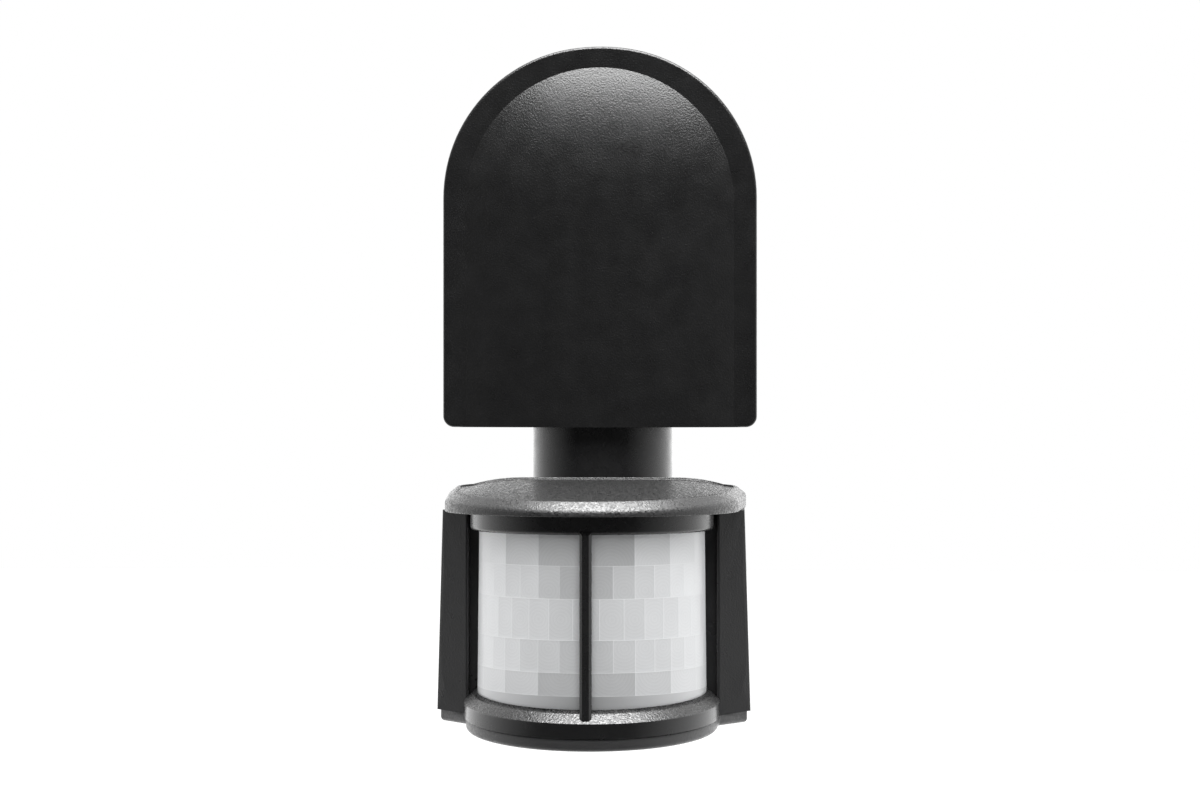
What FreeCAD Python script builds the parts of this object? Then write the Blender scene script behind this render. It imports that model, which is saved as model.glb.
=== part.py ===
import FreeCAD, Part
import collections
import math
import os
import Sketcher

# Wall-mounted infrared motion detector: a wall box, a neck that turns in it and a head that tilts.
# Millimetres, +Z up. The wall is the plane y = 0 and the detector looks along -Y.
# The origin is the middle of the wall plate's back face.

SIZES = {
    # Wall box
    "box_width": 85.0,
    "box_height": 103.0,
    "box_depth": 43.0,
    "box_wall": 2.2,
    "box_corner": 3.0,
    "arch_top_radius": 52.0,
    "arch_shoulder_radius": 40.8,
    "band_side": 6.2,
    "band_top": 5.75,
    "band_round": 0.8,
    "dome_rise": 7.0,
    "plate_thick": 2.5,
    "plate_inset": 0.5,
    "gasket_thick": 1.0,
    "gasket_width": 1.8,
    "lip_thick": 1.6,
    "lip_height": 5.0,
    "rib_height": 3.0,
    "rib_length": 48.0,
    "rib_spread": 25.0,
    "shelf_thick": 3.5,
    "shelf_rim": 3.0,
    "post_radius": 3.0,
    "post_depth": 9.5,
    "post_length": 12.0,
    "cover_post_spread": 34.0,
    "retainer_post_spread": 26.5,
    # Wall fixing and wiring
    "wall_screw_high": 36.0,
    "wall_screw_pitch": 60.0,
    "wall_hole_radius": 2.4,
    "wall_boss_radius": 5.0,
    "wall_boss_height": 2.0,
    "entry_height": 22.0,
    "entry_radius": 7.0,
    "entry_bore": 4.0,
    "entry_flange": 2.0,
    "entry_collar": 4.0,
    "clamp_height": 9.0,
    "clamp_spread": 9.0,
    "clamp_width": 6.0,
    "clamp_foot": 3.0,
    "clamp_thick": 2.0,
    "clamp_bore": 4.0,
    "clamp_boss_height": 4.0,
    "clamp_boss_radius": 2.8,
    "rib_thick": 1.6,
    "block_middle": -4.5,
    "block_pitch": 10.0,
    "block_tall": 13.0,
    "block_depth": 14.0,
    "block_ways": 3,
    "block_screw_radius": 2.1,
    "block_wire_radius": 1.7,
    "block_wire_height": 5.6,
    "block_well": 8.4,
    "block_screw_length": 4.9,
    "block_notch_width": 1.6,
    "block_notch_depth": 3.5,
    # Neck
    "neck_back_gap": 0.75,
    "neck_radius": 19.25,
    "neck_wall": 2.75,
    "neck_floor": 3.0,
    "neck_drop": 27.5,
    "neck_edge": 0.8,
    "flange_width": 2.0,
    "flange_thick": 2.9,
    "retainer_rim": 0.45,
    "retainer_thick": 2.0,
    "retainer_overlap": 3.8,
    "seal_depth": 1.1,
    "seal_height": 1.4,
    "tongue_half": 10.0,
    "tongue_radius": 16.0,
    "channel_radius": 3.5,
    "channel_drop": 4.5,
    "well_gap": 0.5,
    "wire_wall": 2.0,
    "wire_lip": 1.0,
    "wire_tail": 0.6,
    "bolt_radius": 3.0,
    "bolt_head_radius": 5.5,
    "bolt_head_height": 3.5,
    "nut_flats": 10.0,
    "nut_height": 4.0,
    "bolt_bevel": 1.0,
    "bolt_tail": 1.5,
    "bolt_point": 0.5,
    # Head
    "head_reach": 58.5,
    "head_drop": 21.0,
    "hinge_drop": 25.5,
    "seam_drop": 52.2,
    "seam_slope": 4.0,
    "hat_radius": 37.6,
    "hat_flare": 4.0,
    "hat_overhang": 1.0,
    "hat_slope": 3.1,
    "hat_middle": 5.65,
    "hat_skin": 2.2,
    "hat_recess": 0.5,
    "rim_width": 3.2,
    "rim_bevel": 2.4,
    "rim_round": 2.2,
    "rim_crown": 0.7,
    "crease_round": 0.3,
    "hat_hollow": 29.5,
    "hat_edge": 0.3,
    "hat_boss_across": 18.0,
    "hat_boss_front": 16.0,
    "hat_boss_spread": 24.0,
    "hat_boss_inset": 21.5,
    "hat_boss_end": 1.6,
    "ring_radius": 31.1,
    "ring_height": 4.7,
    "ring_round": 1.0,
    "ring_flange": 1.8,
    "ring_flange_radius": 21.0,
    "rib_width": 2.9,
    "rib_inner": 29.7,
    "rib_outer": 32.3,
    "rib_bevel": 0.6,
    "lens_top_radius": 28.8,
    "lens_low_radius": 29.3,
    "lens_thick": 1.3,
    "lens_tuck": 2.5,
    "lens_holder": 1.2,
    "groove_depth": 0.2,
    "groove_width": 0.35,
    "row_one": 7.7,
    "row_two": 8.1,
    "row_three": 10.1,
    "row_four": 8.0,
    "row_five": 5.7,
    "narrow_facets": 32,
    "wide_facets": 16,
    "band_radius": 32.6,
    "band_height": 3.9,
    "chamfer_rise": 2.9,
    "ledge_height": 2.2,
    "ledge_lip": 1.8,
    "ledge_slack": 1.0,
    "head_wall": 2.2,
    "half_top": 39.0,
    "half_low": 40.6,
    "wing_inner": 32.8,
    "wing_front": 1.5,
    "wing_sweep": 6.0,
    "wing_round": 0.5,
    "channel_back": 4.7,
    "head_neck_gap": 1.75,
    "head_corner": 13.0,
    "opening_half": 26.5,
    "cheek_thick": 5.2,
    "cheek_radius": 13.0,
    "cap_thick": 3.2,
    "cap_floor": 1.6,
    "cap_inset": 1.0,
    "cap_ring_inset": 0.4,
    "cap_round": 1.2,
    "cap_seal_thick": 0.8,
    "cap_seal_inset": 1.6,
    "cap_seal_width": 1.4,
    "cap_post_side": 5.0,
    "cap_post_inset": 15.5,
    "cap_post_front": 21.5,
    "cap_boss_wall": 0.8,
    # Screws and electronics
    "screw_head": 2.7,
    "screw_head_height": 1.3,
    "screw_radius": 1.2,
    "screw_bite": 6.0,
    "small_head": 1.8,
    "small_head_height": 1.0,
    "small_radius": 0.8,
    "small_bite": 3.5,
    "screw_point": 0.3,
    "screw_point_length": 0.5,
    "cross_width": 0.7,
    "cross_length": 2.6,
    "cross_depth": 0.7,
    "board_thick": 1.6,
    "board_half": 26.0,
    "board_drop": 7.5,
    "board_tall": 38.0,
    "standoff": 8.0,
    "standoff_radius": 2.8,
    "board_screw_side": 9.0,
    "board_screw_margin": 5.0,
    "relay_left": 19.0,
    "relay_drop": 8.0,
    "relay_side": 16.0,
    "relay_thick": 15.0,
    "relay_bevel": 0.6,
    "film_left": 1.0,
    "film_width": 14.0,
    "film_tall": 8.0,
    "film_thick": 12.0,
    "film_round": 1.0,
    "can_across": 8.0,
    "can_drop": 26.0,
    "can_radius": 5.0,
    "can_length": 14.0,
    "carrier_front": 1.0,
    "carrier_thick": 2.0,
    "carrier_tall": 26.0,
    "carrier_hole_half": 10.0,
    "carrier_hole_tall": 14.0,
    "leg_radius": 1.8,
    "leg_margin": 0.5,
    "sensor_board_half": 14.0,
    "sensor_board_tall": 24.0,
    "sensor_can_radius": 4.6,
    "sensor_can_length": 4.2,
    "sensor_rim": 0.4,
    "sensor_rim_height": 0.6,
    "sensor_eye_width": 4.0,
    "sensor_eye_tall": 3.0,
    "sensor_eye_depth": 0.4,
    "cell_across": 9.0,
    "cell_drop": 8.0,
    "cell_radius": 2.5,
    "cell_thick": 2.0,
    "light_rim": 1.9,
    "light_rim_height": 1.0,
    "light_radius": 1.5,
    "light_length": 5.0,
    "sensor_drop": 26.5,
    "control_radius": 24.0,
    "control_back": 14.0,
    "control_height": 7.0,
    "control_post_across": 20.0,
    "control_post_back": 9.0,
    "control_post_front": 14.5,
    "control_post_radius": 2.5,
    "knob_radius": 4.6,
    "knob_thick": 2.4,
    "knob_sink": 0.2,
    "knob_pitch": 14.0,
    "knob_front": 5.0,
    "knob_shaft": 1.9,
    "knob_reach": 4.5,
    "knob_flutes": 12,
    "knob_edge": 0.4,
    "knob_flute_radius": 0.7,
    "knob_flute_depth": 0.4,
    "knob_slot_length": 6.4,
    "knob_slot_width": 1.2,
    "knob_slot_depth": 1.0,
    "trimmer_side": 9.0,
    "trimmer_tall": 5.0,
    # Gaps
    "part_gap": 0.3,
    "thrust_gap": 0.1,
    "running_gap": 0.08,
    "shaft_gap": 0.05,
    "seat_gap": 0.15,
}

Vector = FreeCAD.Vector
X_AXIS = Vector(1, 0, 0)
Y_AXIS = Vector(0, 1, 0)
Z_AXIS = Vector(0, 0, 1)

# How far a cutting form reaches past what it cuts, how deep a joined form starts inside its base,
# and how close two places count as one
PAST = 1.0
SUNK = 0.5
NEAR = 0.02


# Dimensions that carry their own sheet expression

class Size:
    """A dimension: its present number, and the sheet expression that keeps it current."""

    def __init__(self, text, number):
        self.text = text
        self.number = number

    def joined(self, sign, other, number):
        return Size("(%s %s %s)" % (self.text, sign, other.text), number)

    def __add__(self, other):
        other = sized(other)
        return self.joined("+", other, self.number + other.number)

    def __sub__(self, other):
        other = sized(other)
        return self.joined("-", other, self.number - other.number)

    def __mul__(self, other):
        other = sized(other)
        return self.joined("*", other, self.number * other.number)

    def __truediv__(self, other):
        other = sized(other)
        return self.joined("/", other, self.number / other.number)

    def __radd__(self, other):
        return sized(other) + self

    def __rsub__(self, other):
        return sized(other) - self

    def __rmul__(self, other):
        return sized(other) * self

    def __neg__(self):
        return Size("(0 - %s)" % self.text, -self.number)


def sized(value):
    """The value as a Size, when it is a plain number."""
    if isinstance(value, Size):
        return value
    return Size(repr(float(value)), float(value))


def smaller(first, second):
    return Size("min(%s; %s)" % (first.text, second.text), min(first.number, second.number))


def root(size):
    return Size("sqrt(%s)" % size.text, math.sqrt(size.number))


def sine(angle):
    return Size("sin(%s)" % angle.text, math.sin(math.radians(angle.number)))


def cosine(angle):
    return Size("cos(%s)" % angle.text, math.cos(math.radians(angle.number)))


def tangent(angle):
    return Size("tan(%s)" % angle.text, math.tan(math.radians(angle.number)))


def arc_sine(ratio):
    return Size("(asin(%s) / 1 deg)" % ratio.text, math.degrees(math.asin(ratio.number)))


doc = FreeCAD.newDocument("MotionDetector")
sheet = doc.addObject("Spreadsheet::Sheet", "Dims")
d = type("Dims", (), {})()
for row, (size_name, number) in enumerate(SIZES.items(), start=1):
    sheet.set("A%d" % row, size_name)
    sheet.set("B%d" % row, str(number))
    sheet.setAlias("B%d" % row, size_name)
    setattr(d, size_name, Size("Dims." + size_name, float(number)))
doc.recompute()

pieces = []
cuts = []


# Drawing

Step = collections.namedtuple("Step", "x y centre left")


def line(x, y):
    """A straight step of an outline to a point."""
    return Step(sized(x), sized(y), None, True)


def arc(x, y, cx, cy, left=True):
    """A round step of an outline to a point about a centre; left is counter-clockwise."""
    return Step(sized(x), sized(y), (sized(cx), sized(cy)), left)


def mirrored_centre(step):
    if step.centre is None:
        return None
    return (-step.centre[0], step.centre[1])


def both_sides(path, over=None, left=True):
    """A symmetric outline from its right half. The first step also closes the outline, and over
    is the centre of the arc that joins the two ends of the halves, a straight line if left out."""
    outline_steps = list(path)
    arrival = (over and (sized(over[0]), sized(over[1])), left)
    for step in reversed(path):
        outline_steps.append(Step(-step.x, step.y, arrival[0], arrival[1]))
        arrival = (mirrored_centre(step), step.left)
    return outline_steps


def rectangle(x_low, y_low, x_high, y_high):
    return [line(x_low, y_low), line(x_high, y_low), line(x_high, y_high), line(x_low, y_high)]


def base_plane(body, role):
    return next(item for item in body.Origin.OriginFeatures if item.Role == role + "_Plane")


def new_body(name, across=0, depth=0, height=0, lean=0):
    """A body with its own place; lean turns it about X, so that its front goes down."""
    body = doc.addObject("PartDesign::Body", name)
    place(body, across, depth, height, lean)
    return body


def place(item, across=0, depth=0, height=0, lean=0, axis=X_AXIS):
    """Binds an object's place, with a turn about an axis."""
    item.Placement = FreeCAD.Placement(Vector(), FreeCAD.Rotation(axis, 1))
    for letter, size in zip("xyz", (across, depth, height)):
        item.setExpression("Placement.Base." + letter, sized(size).text)
    item.setExpression("Placement.Rotation.Angle", sized(lean).text)


def new_sketch(body, name, plane, lift=0, tilt=0, shift=0, axis=X_AXIS):
    """A sketch on a base plane of its body, moved out along the normal and sideways, then tilted
    about one of its own axes."""
    sketch = body.newObject("Sketcher::SketchObject", name)
    sketch.AttachmentSupport = [(base_plane(body, plane), "")]
    sketch.MapMode = "FlatFace"
    sketch.AttachmentOffset = FreeCAD.Placement(Vector(), FreeCAD.Rotation(axis, 1))
    sketch.setExpression("AttachmentOffset.Base.x", sized(shift).text)
    sketch.setExpression("AttachmentOffset.Base.z", sized(lift).text)
    sketch.setExpression("AttachmentOffset.Rotation.Angle", sized(tilt).text)
    return sketch


def bind_constraints(sketch, rules):
    """Adds constraints; each rule is a constraint and the size that drives it."""
    added = sketch.addConstraint([constraint for constraint, size in rules])
    for index, (constraint, size) in zip(added, rules):
        if size is not None:
            sketch.setExpression("Constraints[%d]" % index, size.text)


def point_rules(index, corner, x, y):
    return [
        (Sketcher.Constraint("DistanceX", -1, 1, index, corner, x.number), x),
        (Sketcher.Constraint("DistanceY", -1, 1, index, corner, y.number), y),
    ]


def curve_between(start, end, step):
    """The line or arc of one step, from one point to the next."""
    if step.centre is None:
        return Part.LineSegment(start, end)
    centre = Vector(step.centre[0].number, step.centre[1].number)
    first, last = (start, end) if step.left else (end, start)
    angles = [math.atan2(point.y - centre.y, point.x - centre.x) for point in (first, last)]
    if angles[1] <= angles[0]:
        angles[1] += 2 * math.pi
    circle = Part.Circle(centre, Z_AXIS, (start - centre).Length)
    return Part.ArcOfCircle(circle, angles[0], angles[1])


def add_loop(sketch, steps):
    """Closes one outline: every corner is driven by the sheet, and so is every arc's centre."""
    points = [Vector(step.x.number, step.y.number) for step in steps]
    rules = []
    ends = []
    for number_of, step in enumerate(steps):
        start, end = points[number_of - 1], points[number_of]
        index = sketch.addGeometry(curve_between(start, end, step))
        ends.append((index, 1, 2) if step.left else (index, 2, 1))
        rules += point_rules(index, ends[-1][2], step.x, step.y)
        if step.centre is None:
            continue
        if abs(end.x - start.x) >= abs(end.y - start.y):
            rule = Sketcher.Constraint("DistanceY", -1, 1, index, 3, step.centre[1].number)
            rules.append((rule, step.centre[1]))
        else:
            rule = Sketcher.Constraint("DistanceX", -1, 1, index, 3, step.centre[0].number)
            rules.append((rule, step.centre[0]))
    for before, after in zip(ends[-1:] + ends[:-1], ends):
        rules.append((Sketcher.Constraint("Coincident", before[0], before[2], after[0], after[1]), None))
    bind_constraints(sketch, rules)


def outline(body, name, plane, *loops, **offset):
    """A sketch of one or more closed outlines."""
    sketch = new_sketch(body, name, plane, **offset)
    for steps in loops:
        add_loop(sketch, steps)
    return sketch


def circles(body, name, plane, places, radius, lift=0, tilt=0):
    """A sketch of equal circles."""
    sketch = new_sketch(body, name, plane, lift, tilt)
    radius = sized(radius)
    for x, y in places:
        x, y = sized(x), sized(y)
        index = sketch.addGeometry(Part.Circle(Vector(x.number, y.number), Z_AXIS, radius.number))
        rules = point_rules(index, 3, x, y)
        rules.append((Sketcher.Constraint("Radius", index, radius.number), radius))
        bind_constraints(sketch, rules)
    return sketch


# Features

def feature(body, kind, sketch, ending):
    made = body.newObject("PartDesign::" + kind, sketch.Name + ending)
    made.Profile = sketch
    return made


def pad(body, sketch, length, back=False, both=False):
    """Raises a sketch; back goes against its normal and both goes half the length each way."""
    made = feature(body, "Pad", sketch, "_pad")
    made.setExpression("Length", sized(length).text)
    made.Reversed = back
    made.Midplane = both
    return made


def cut(body, sketch, length=None, back=False, both=False):
    """Cuts a sketch against its normal, or along it when back is set; no length cuts through."""
    made = feature(body, "Pocket", sketch, "_cut")
    if length is None:
        made.Type = "ThroughAll"
    else:
        made.setExpression("Length", sized(length).text)
    made.Reversed = back
    made.Midplane = both
    cuts.append(made)
    return made


def spin(body, sketch, angle=360, axis="V_Axis"):
    """Turns a sketch about one of its axes, half the angle each way."""
    made = feature(body, "Revolution", sketch, "_spin")
    made.ReferenceAxis = (sketch, [axis])
    made.setExpression("Angle", sized(angle).text)
    made.Midplane = True
    return made


def spin_cut(body, sketch, angle=360):
    """Cuts a sketch turned about its upright axis, half the angle each way."""
    made = feature(body, "Groove", sketch, "_groove")
    made.ReferenceAxis = (sketch, ["V_Axis"])
    made.setExpression("Angle", sized(angle).text)
    made.Midplane = True
    cuts.append(made)
    return made


def loft(body, kind, top, bottom):
    """Joins two outlines with straight sides."""
    made = feature(body, kind, top, "_loft")
    made.Sections = [bottom]
    made.Ruled = True
    if kind == "SubtractiveLoft":
        cuts.append(made)
    return made


def ring_pattern(body, original, count):
    """Repeats a feature all round the body's upright axis."""
    made = body.newObject("PartDesign::PolarPattern", original.Name + "_ring")
    made.Originals = [original]
    made.Axis = (next(item for item in body.Origin.OriginFeatures if item.Role == "Z_Axis"), [""])
    made.setExpression("Occurrences", sized(count).text)
    made.Angle = 360
    body.Tip = made
    return made


def mirror(body, original):
    """Repeats a feature on the other side of the middle plane."""
    made = body.newObject("PartDesign::Mirrored", original.Name + "_mirror")
    made.Originals = [original]
    made.MirrorPlane = (base_plane(body, "YZ"), [""])
    body.Tip = made
    return made


def round_edges(body, name, radius, chosen, kind="Fillet"):
    """Rounds or bevels the edges of the body so far that the test picks."""
    doc.recompute()
    base = body.Tip
    names = ["Edge%d" % count for count, edge in enumerate(base.Shape.Edges, start=1) if chosen(edge)]
    made = body.newObject("PartDesign::" + kind, name)
    made.Base = (base, names)
    made.setExpression("Radius" if kind == "Fillet" else "Size", sized(radius).text)
    return made


def lies_at(edge, letter, size):
    """Whether an edge lies in the plane at one coordinate."""
    box = edge.BoundBox
    low, high = getattr(box, letter + "Min"), getattr(box, letter + "Max")
    return abs(low - size.number) < NEAR and abs(high - size.number) < NEAR


def primitive(kind, name, **sizes):
    """A plain solid with its sizes bound to the sheet."""
    made = doc.addObject("Part::" + kind, name)
    for key, size in sizes.items():
        made.setExpression(key, sized(size).text)
    return made


def boolean(kind, name, base, tool):
    made = doc.addObject("Part::" + kind, name)
    made.Base = base
    made.Tool = tool
    return made


def keep(item, label):
    """Names an object as a finished piece."""
    item.Label = label
    pieces.append(item)
    return item


def sides(size):
    """The same place on the right and on the left."""
    return (size, -size)


# Heights and places that several pieces share

box_low = -(d.box_height / 2)
cover_back = d.plate_thick + d.gasket_thick
shelf_low = box_low + d.box_wall + d.part_gap
shelf_top = shelf_low + d.shelf_thick
flange_low = shelf_top + d.thrust_gap
flange_top = flange_low + d.flange_thick
retainer_low = flange_top + d.thrust_gap
post_y = -d.post_depth
flange_radius = d.neck_radius + d.flange_width
neck_axis = d.plate_thick + d.neck_back_gap + flange_radius
lens_axis = neck_axis + d.head_reach

hat_under = box_low - d.head_drop
hinge_z = hat_under - d.hinge_drop
seam_z = hat_under - d.seam_drop
neck_end = box_low - d.neck_drop
hinge_back = d.head_reach
head_back = d.head_reach - d.neck_radius - d.head_neck_gap
roof_under = hat_under - d.head_wall
ring_low = hat_under - d.ring_height
head_y = -lens_axis
wing_slope = d.wing_sweep / (d.half_low - d.wing_inner)

cover_posts = [(x, post_y) for x in sides(d.cover_post_spread)]
retainer_posts = [(x, post_y) for x in sides(d.retainer_post_spread)]
hat_front_bosses = [(x, -d.hat_boss_front) for x in sides(d.hat_boss_across)]
hat_back_bosses = [(x, head_back - d.hat_boss_inset) for x in sides(d.hat_boss_spread)]
cap_back_posts = [(x, head_back - d.cap_post_inset) for x in sides(d.half_top - d.cap_post_side)]
cap_front_post = (sized(0), -d.cap_post_front)
control_posts = [(x, d.control_post_back) for x in sides(d.control_post_across)]
control_posts.append((sized(0), -d.control_post_front))
knob_places = [(d.knob_pitch * count, -d.knob_front) for count in (-1, 0, 1)]

# The main board, which the housing carries and the sensor's bracket stands on
board_top = roof_under - d.board_drop
board_face = head_y + head_back - d.head_wall - d.standoff - d.board_thick
board_screw_x = d.board_half - d.board_screw_side
board_screw_z = (board_top - d.board_screw_margin, board_top - d.board_tall + d.board_screw_margin)
board_screw_places = [(x, z) for x in sides(board_screw_x) for z in board_screw_z]


def on_seam(x, y, height):
    """A place of the sloped seam's frame, given in the upright frame."""
    depth = head_y + y * cosine(d.seam_slope) - height * sine(d.seam_slope)
    return (sized(x), depth, seam_z + y * sine(d.seam_slope) + height * cosine(d.seam_slope))


# Outlines that several pieces share

def arch(inset, corner=None):
    """The round-topped outline of the wall box, drawn in by an inset: one wide arc over the top
    and a tighter one on each shoulder."""
    half = d.box_width / 2 - inset
    low = box_low + inset
    crown = d.box_height / 2 - d.arch_top_radius
    shoulder_radius = smaller(d.arch_shoulder_radius, d.box_width / 2 - d.plate_inset)
    off = d.box_width / 2 - shoulder_radius
    reach = d.arch_top_radius - shoulder_radius
    rise = root(reach * reach - off * off)
    share = (d.arch_top_radius - inset) / reach
    if corner is None:
        foot = [line(half, low)]
    else:
        foot = [line(half - corner, low), arc(half, low + corner, half - corner, low + corner)]
    shoulder = [line(half, crown + rise), arc(off * share, crown + rise * share, off, crown + rise)]
    return both_sides(foot + shoulder, over=(0, crown))


def horseshoe(x, y, radius, back):
    """A round-fronted tab that runs back to the wall plate."""
    return [
        line(x - radius, y),
        arc(x + radius, y, x, y),
        line(x + radius, back),
        line(x - radius, back),
    ]


def wing_face(inset, x):
    """The swept front face of a wing, drawn in by an inset: its depth at a place across."""
    return d.wing_front + wing_slope * (x - d.wing_inner) + root(wing_slope * wing_slope + 1) * inset


def housing_back(half, inset):
    """The side and round back corner of the head, drawn in by an inset."""
    turn = head_back - d.head_corner
    return [
        line(half - inset, turn),
        arc(half - d.head_corner, head_back - inset, half - d.head_corner, turn),
    ]


def housing_outline(half):
    """The rear housing's plan before its corners are rounded: channel beside the lens, swept wing
    face, side and back."""
    return both_sides([
        line(d.wing_inner, d.channel_back),
        line(d.wing_inner, d.wing_front),
        line(half, wing_face(sized(0), half)),
        line(half, head_back),
    ])


def housing_inside(half):
    """The plan of the housing's hollow, one wall thickness inside, with its corners still sharp."""
    wall = d.head_wall
    depth = d.channel_back + wall
    start = d.wing_inner + (depth - wing_face(wall, d.wing_inner)) / wing_slope
    return both_sides([
        line(start, depth),
        line(half - wall, wing_face(wall, half - wall)),
        line(half - wall, head_back - wall),
    ])


def cap_outline(inset):
    """The bottom cap's plan: round under the lens ring, with a lobe under each wing."""
    inner = inset - d.cap_inset
    radius = d.band_radius - d.cap_ring_inset - inner
    notch = d.wing_inner - inner
    front = [
        arc(radius, 0, 0, 0),
        line(notch, wing_face(inset, notch)),
        line(d.half_low - inset, wing_face(inset, d.half_low - inset)),
    ]
    return both_sides(front + housing_back(d.half_low, inset))


def sweep_to(radius):
    """The full angle of a part round the lens whose ends stop just before the channel's back."""
    return 180 + 2 * arc_sine((d.channel_back - d.thrust_gap) / radius)


# Fasteners

def screw(name, where, lean, head, head_height, shank, bite):
    """One pan-head screw with a cross recess; its head stands on its own origin."""
    body = new_body(name, *where, lean=lean)
    shoulder, crown = head_height / 2, head * 3 / 4
    profile = [
        line(0, -bite),
        line(shank - d.screw_point, -bite),
        line(shank, d.screw_point_length - bite),
        line(shank, 0),
        line(head, 0),
        line(head, shoulder),
        line(crown, head_height),
        line(0, head_height),
    ]
    spin(body, outline(body, name + "_half", "XZ", profile))
    half_wide = d.cross_width / 2
    for letter, wide, tall in (("a", d.cross_length / 2, half_wide), ("b", half_wide, d.cross_length / 2)):
        bar = rectangle(-wide, -tall, wide, tall)
        recess = outline(body, name + "_recess_" + letter, "XY", bar, lift=head_height)
        cut(body, recess, d.cross_depth)
    return body


def screws(label, places, lean, small=False):
    """Like screws as separate solids of one piece."""
    if small:
        sizes = (d.small_head, d.small_head_height, d.small_radius, d.small_bite)
    else:
        sizes = (d.screw_head, d.screw_head_height, d.screw_radius, d.screw_bite)
    group = doc.addObject("Part::Compound", label)
    group.Links = [screw("%s_%d" % (label, count), where, lean, *sizes) for count, where in enumerate(places)]
    return keep(group, label)


# Wall box

def make_wall_base():
    body = new_body("wall_base")
    plate = outline(body, "plate", "XZ", arch(d.plate_inset, d.box_corner - d.plate_inset))
    pad(body, plate, d.plate_thick)
    lip_out = d.box_wall + d.seat_gap
    lip = outline(body, "lip", "XZ", arch(lip_out), arch(lip_out + d.lip_thick), lift=d.plate_thick)
    pad(body, lip, d.lip_height)
    low, high = -(d.rib_length / 2), d.rib_length / 2
    half_bar = d.rib_thick / 2
    bars = [rectangle(x - half_bar, low, x + half_bar, high) for x in sides(d.rib_spread)]
    pad(body, outline(body, "ribs", "XZ", *bars, lift=d.plate_thick), d.rib_height)
    shelf_radius = d.neck_radius + d.shelf_rim
    root_y = -d.plate_thick
    shelf = horseshoe(sized(0), -neck_axis, shelf_radius, root_y)
    pad(body, outline(body, "shelf", "XY", shelf, lift=shelf_low), d.shelf_thick)
    inner_posts = [horseshoe(x, y, d.post_radius, root_y) for x, y in retainer_posts]
    pad(body, outline(body, "inner_posts", "XY", *inner_posts, lift=shelf_low), retainer_low - shelf_low)
    outer_posts = [horseshoe(x, y, d.post_radius, root_y) for x, y in cover_posts]
    pad(body, outline(body, "outer_posts", "XY", *outer_posts, lift=shelf_low), d.post_length)
    wall_screws = [(0, d.wall_screw_high), (0, d.wall_screw_high - d.wall_screw_pitch)]
    bosses = circles(body, "wall_bosses", "XZ", wall_screws, d.wall_boss_radius, lift=d.plate_thick)
    pad(body, bosses, d.wall_boss_height)
    clamp_places = [(x, d.clamp_height) for x in sides(d.clamp_spread)]
    clamps = circles(body, "clamp_bosses", "XZ", clamp_places, d.clamp_boss_radius, lift=d.plate_thick)
    pad(body, clamps, d.clamp_boss_height)
    bore = circles(body, "neck_hole", "XY", [(0, -neck_axis)], d.neck_radius + d.running_gap, lift=flange_low)
    cut(body, bore)
    cut(body, circles(body, "wall_holes", "XZ", wall_screws, d.wall_hole_radius), back=True)
    cut(body, circles(body, "entry_hole", "XZ", [(0, d.entry_height)], d.entry_radius), back=True)
    pilot = d.small_radius + d.shaft_gap
    clamp_face = d.plate_thick + d.clamp_boss_height
    clamp_holes = circles(body, "clamp_holes", "XZ", clamp_places, pilot, lift=clamp_face)
    cut(body, clamp_holes, d.small_bite + d.part_gap)
    pilot = d.screw_radius + d.shaft_gap
    depth = d.screw_bite + d.part_gap
    cut(body, circles(body, "retainer_holes", "XY", retainer_posts, pilot, lift=retainer_low), depth)
    cut(body, circles(body, "cover_holes", "XY", cover_posts, pilot, lift=shelf_low), depth, back=True)
    keep(body, "wall_base")


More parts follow.
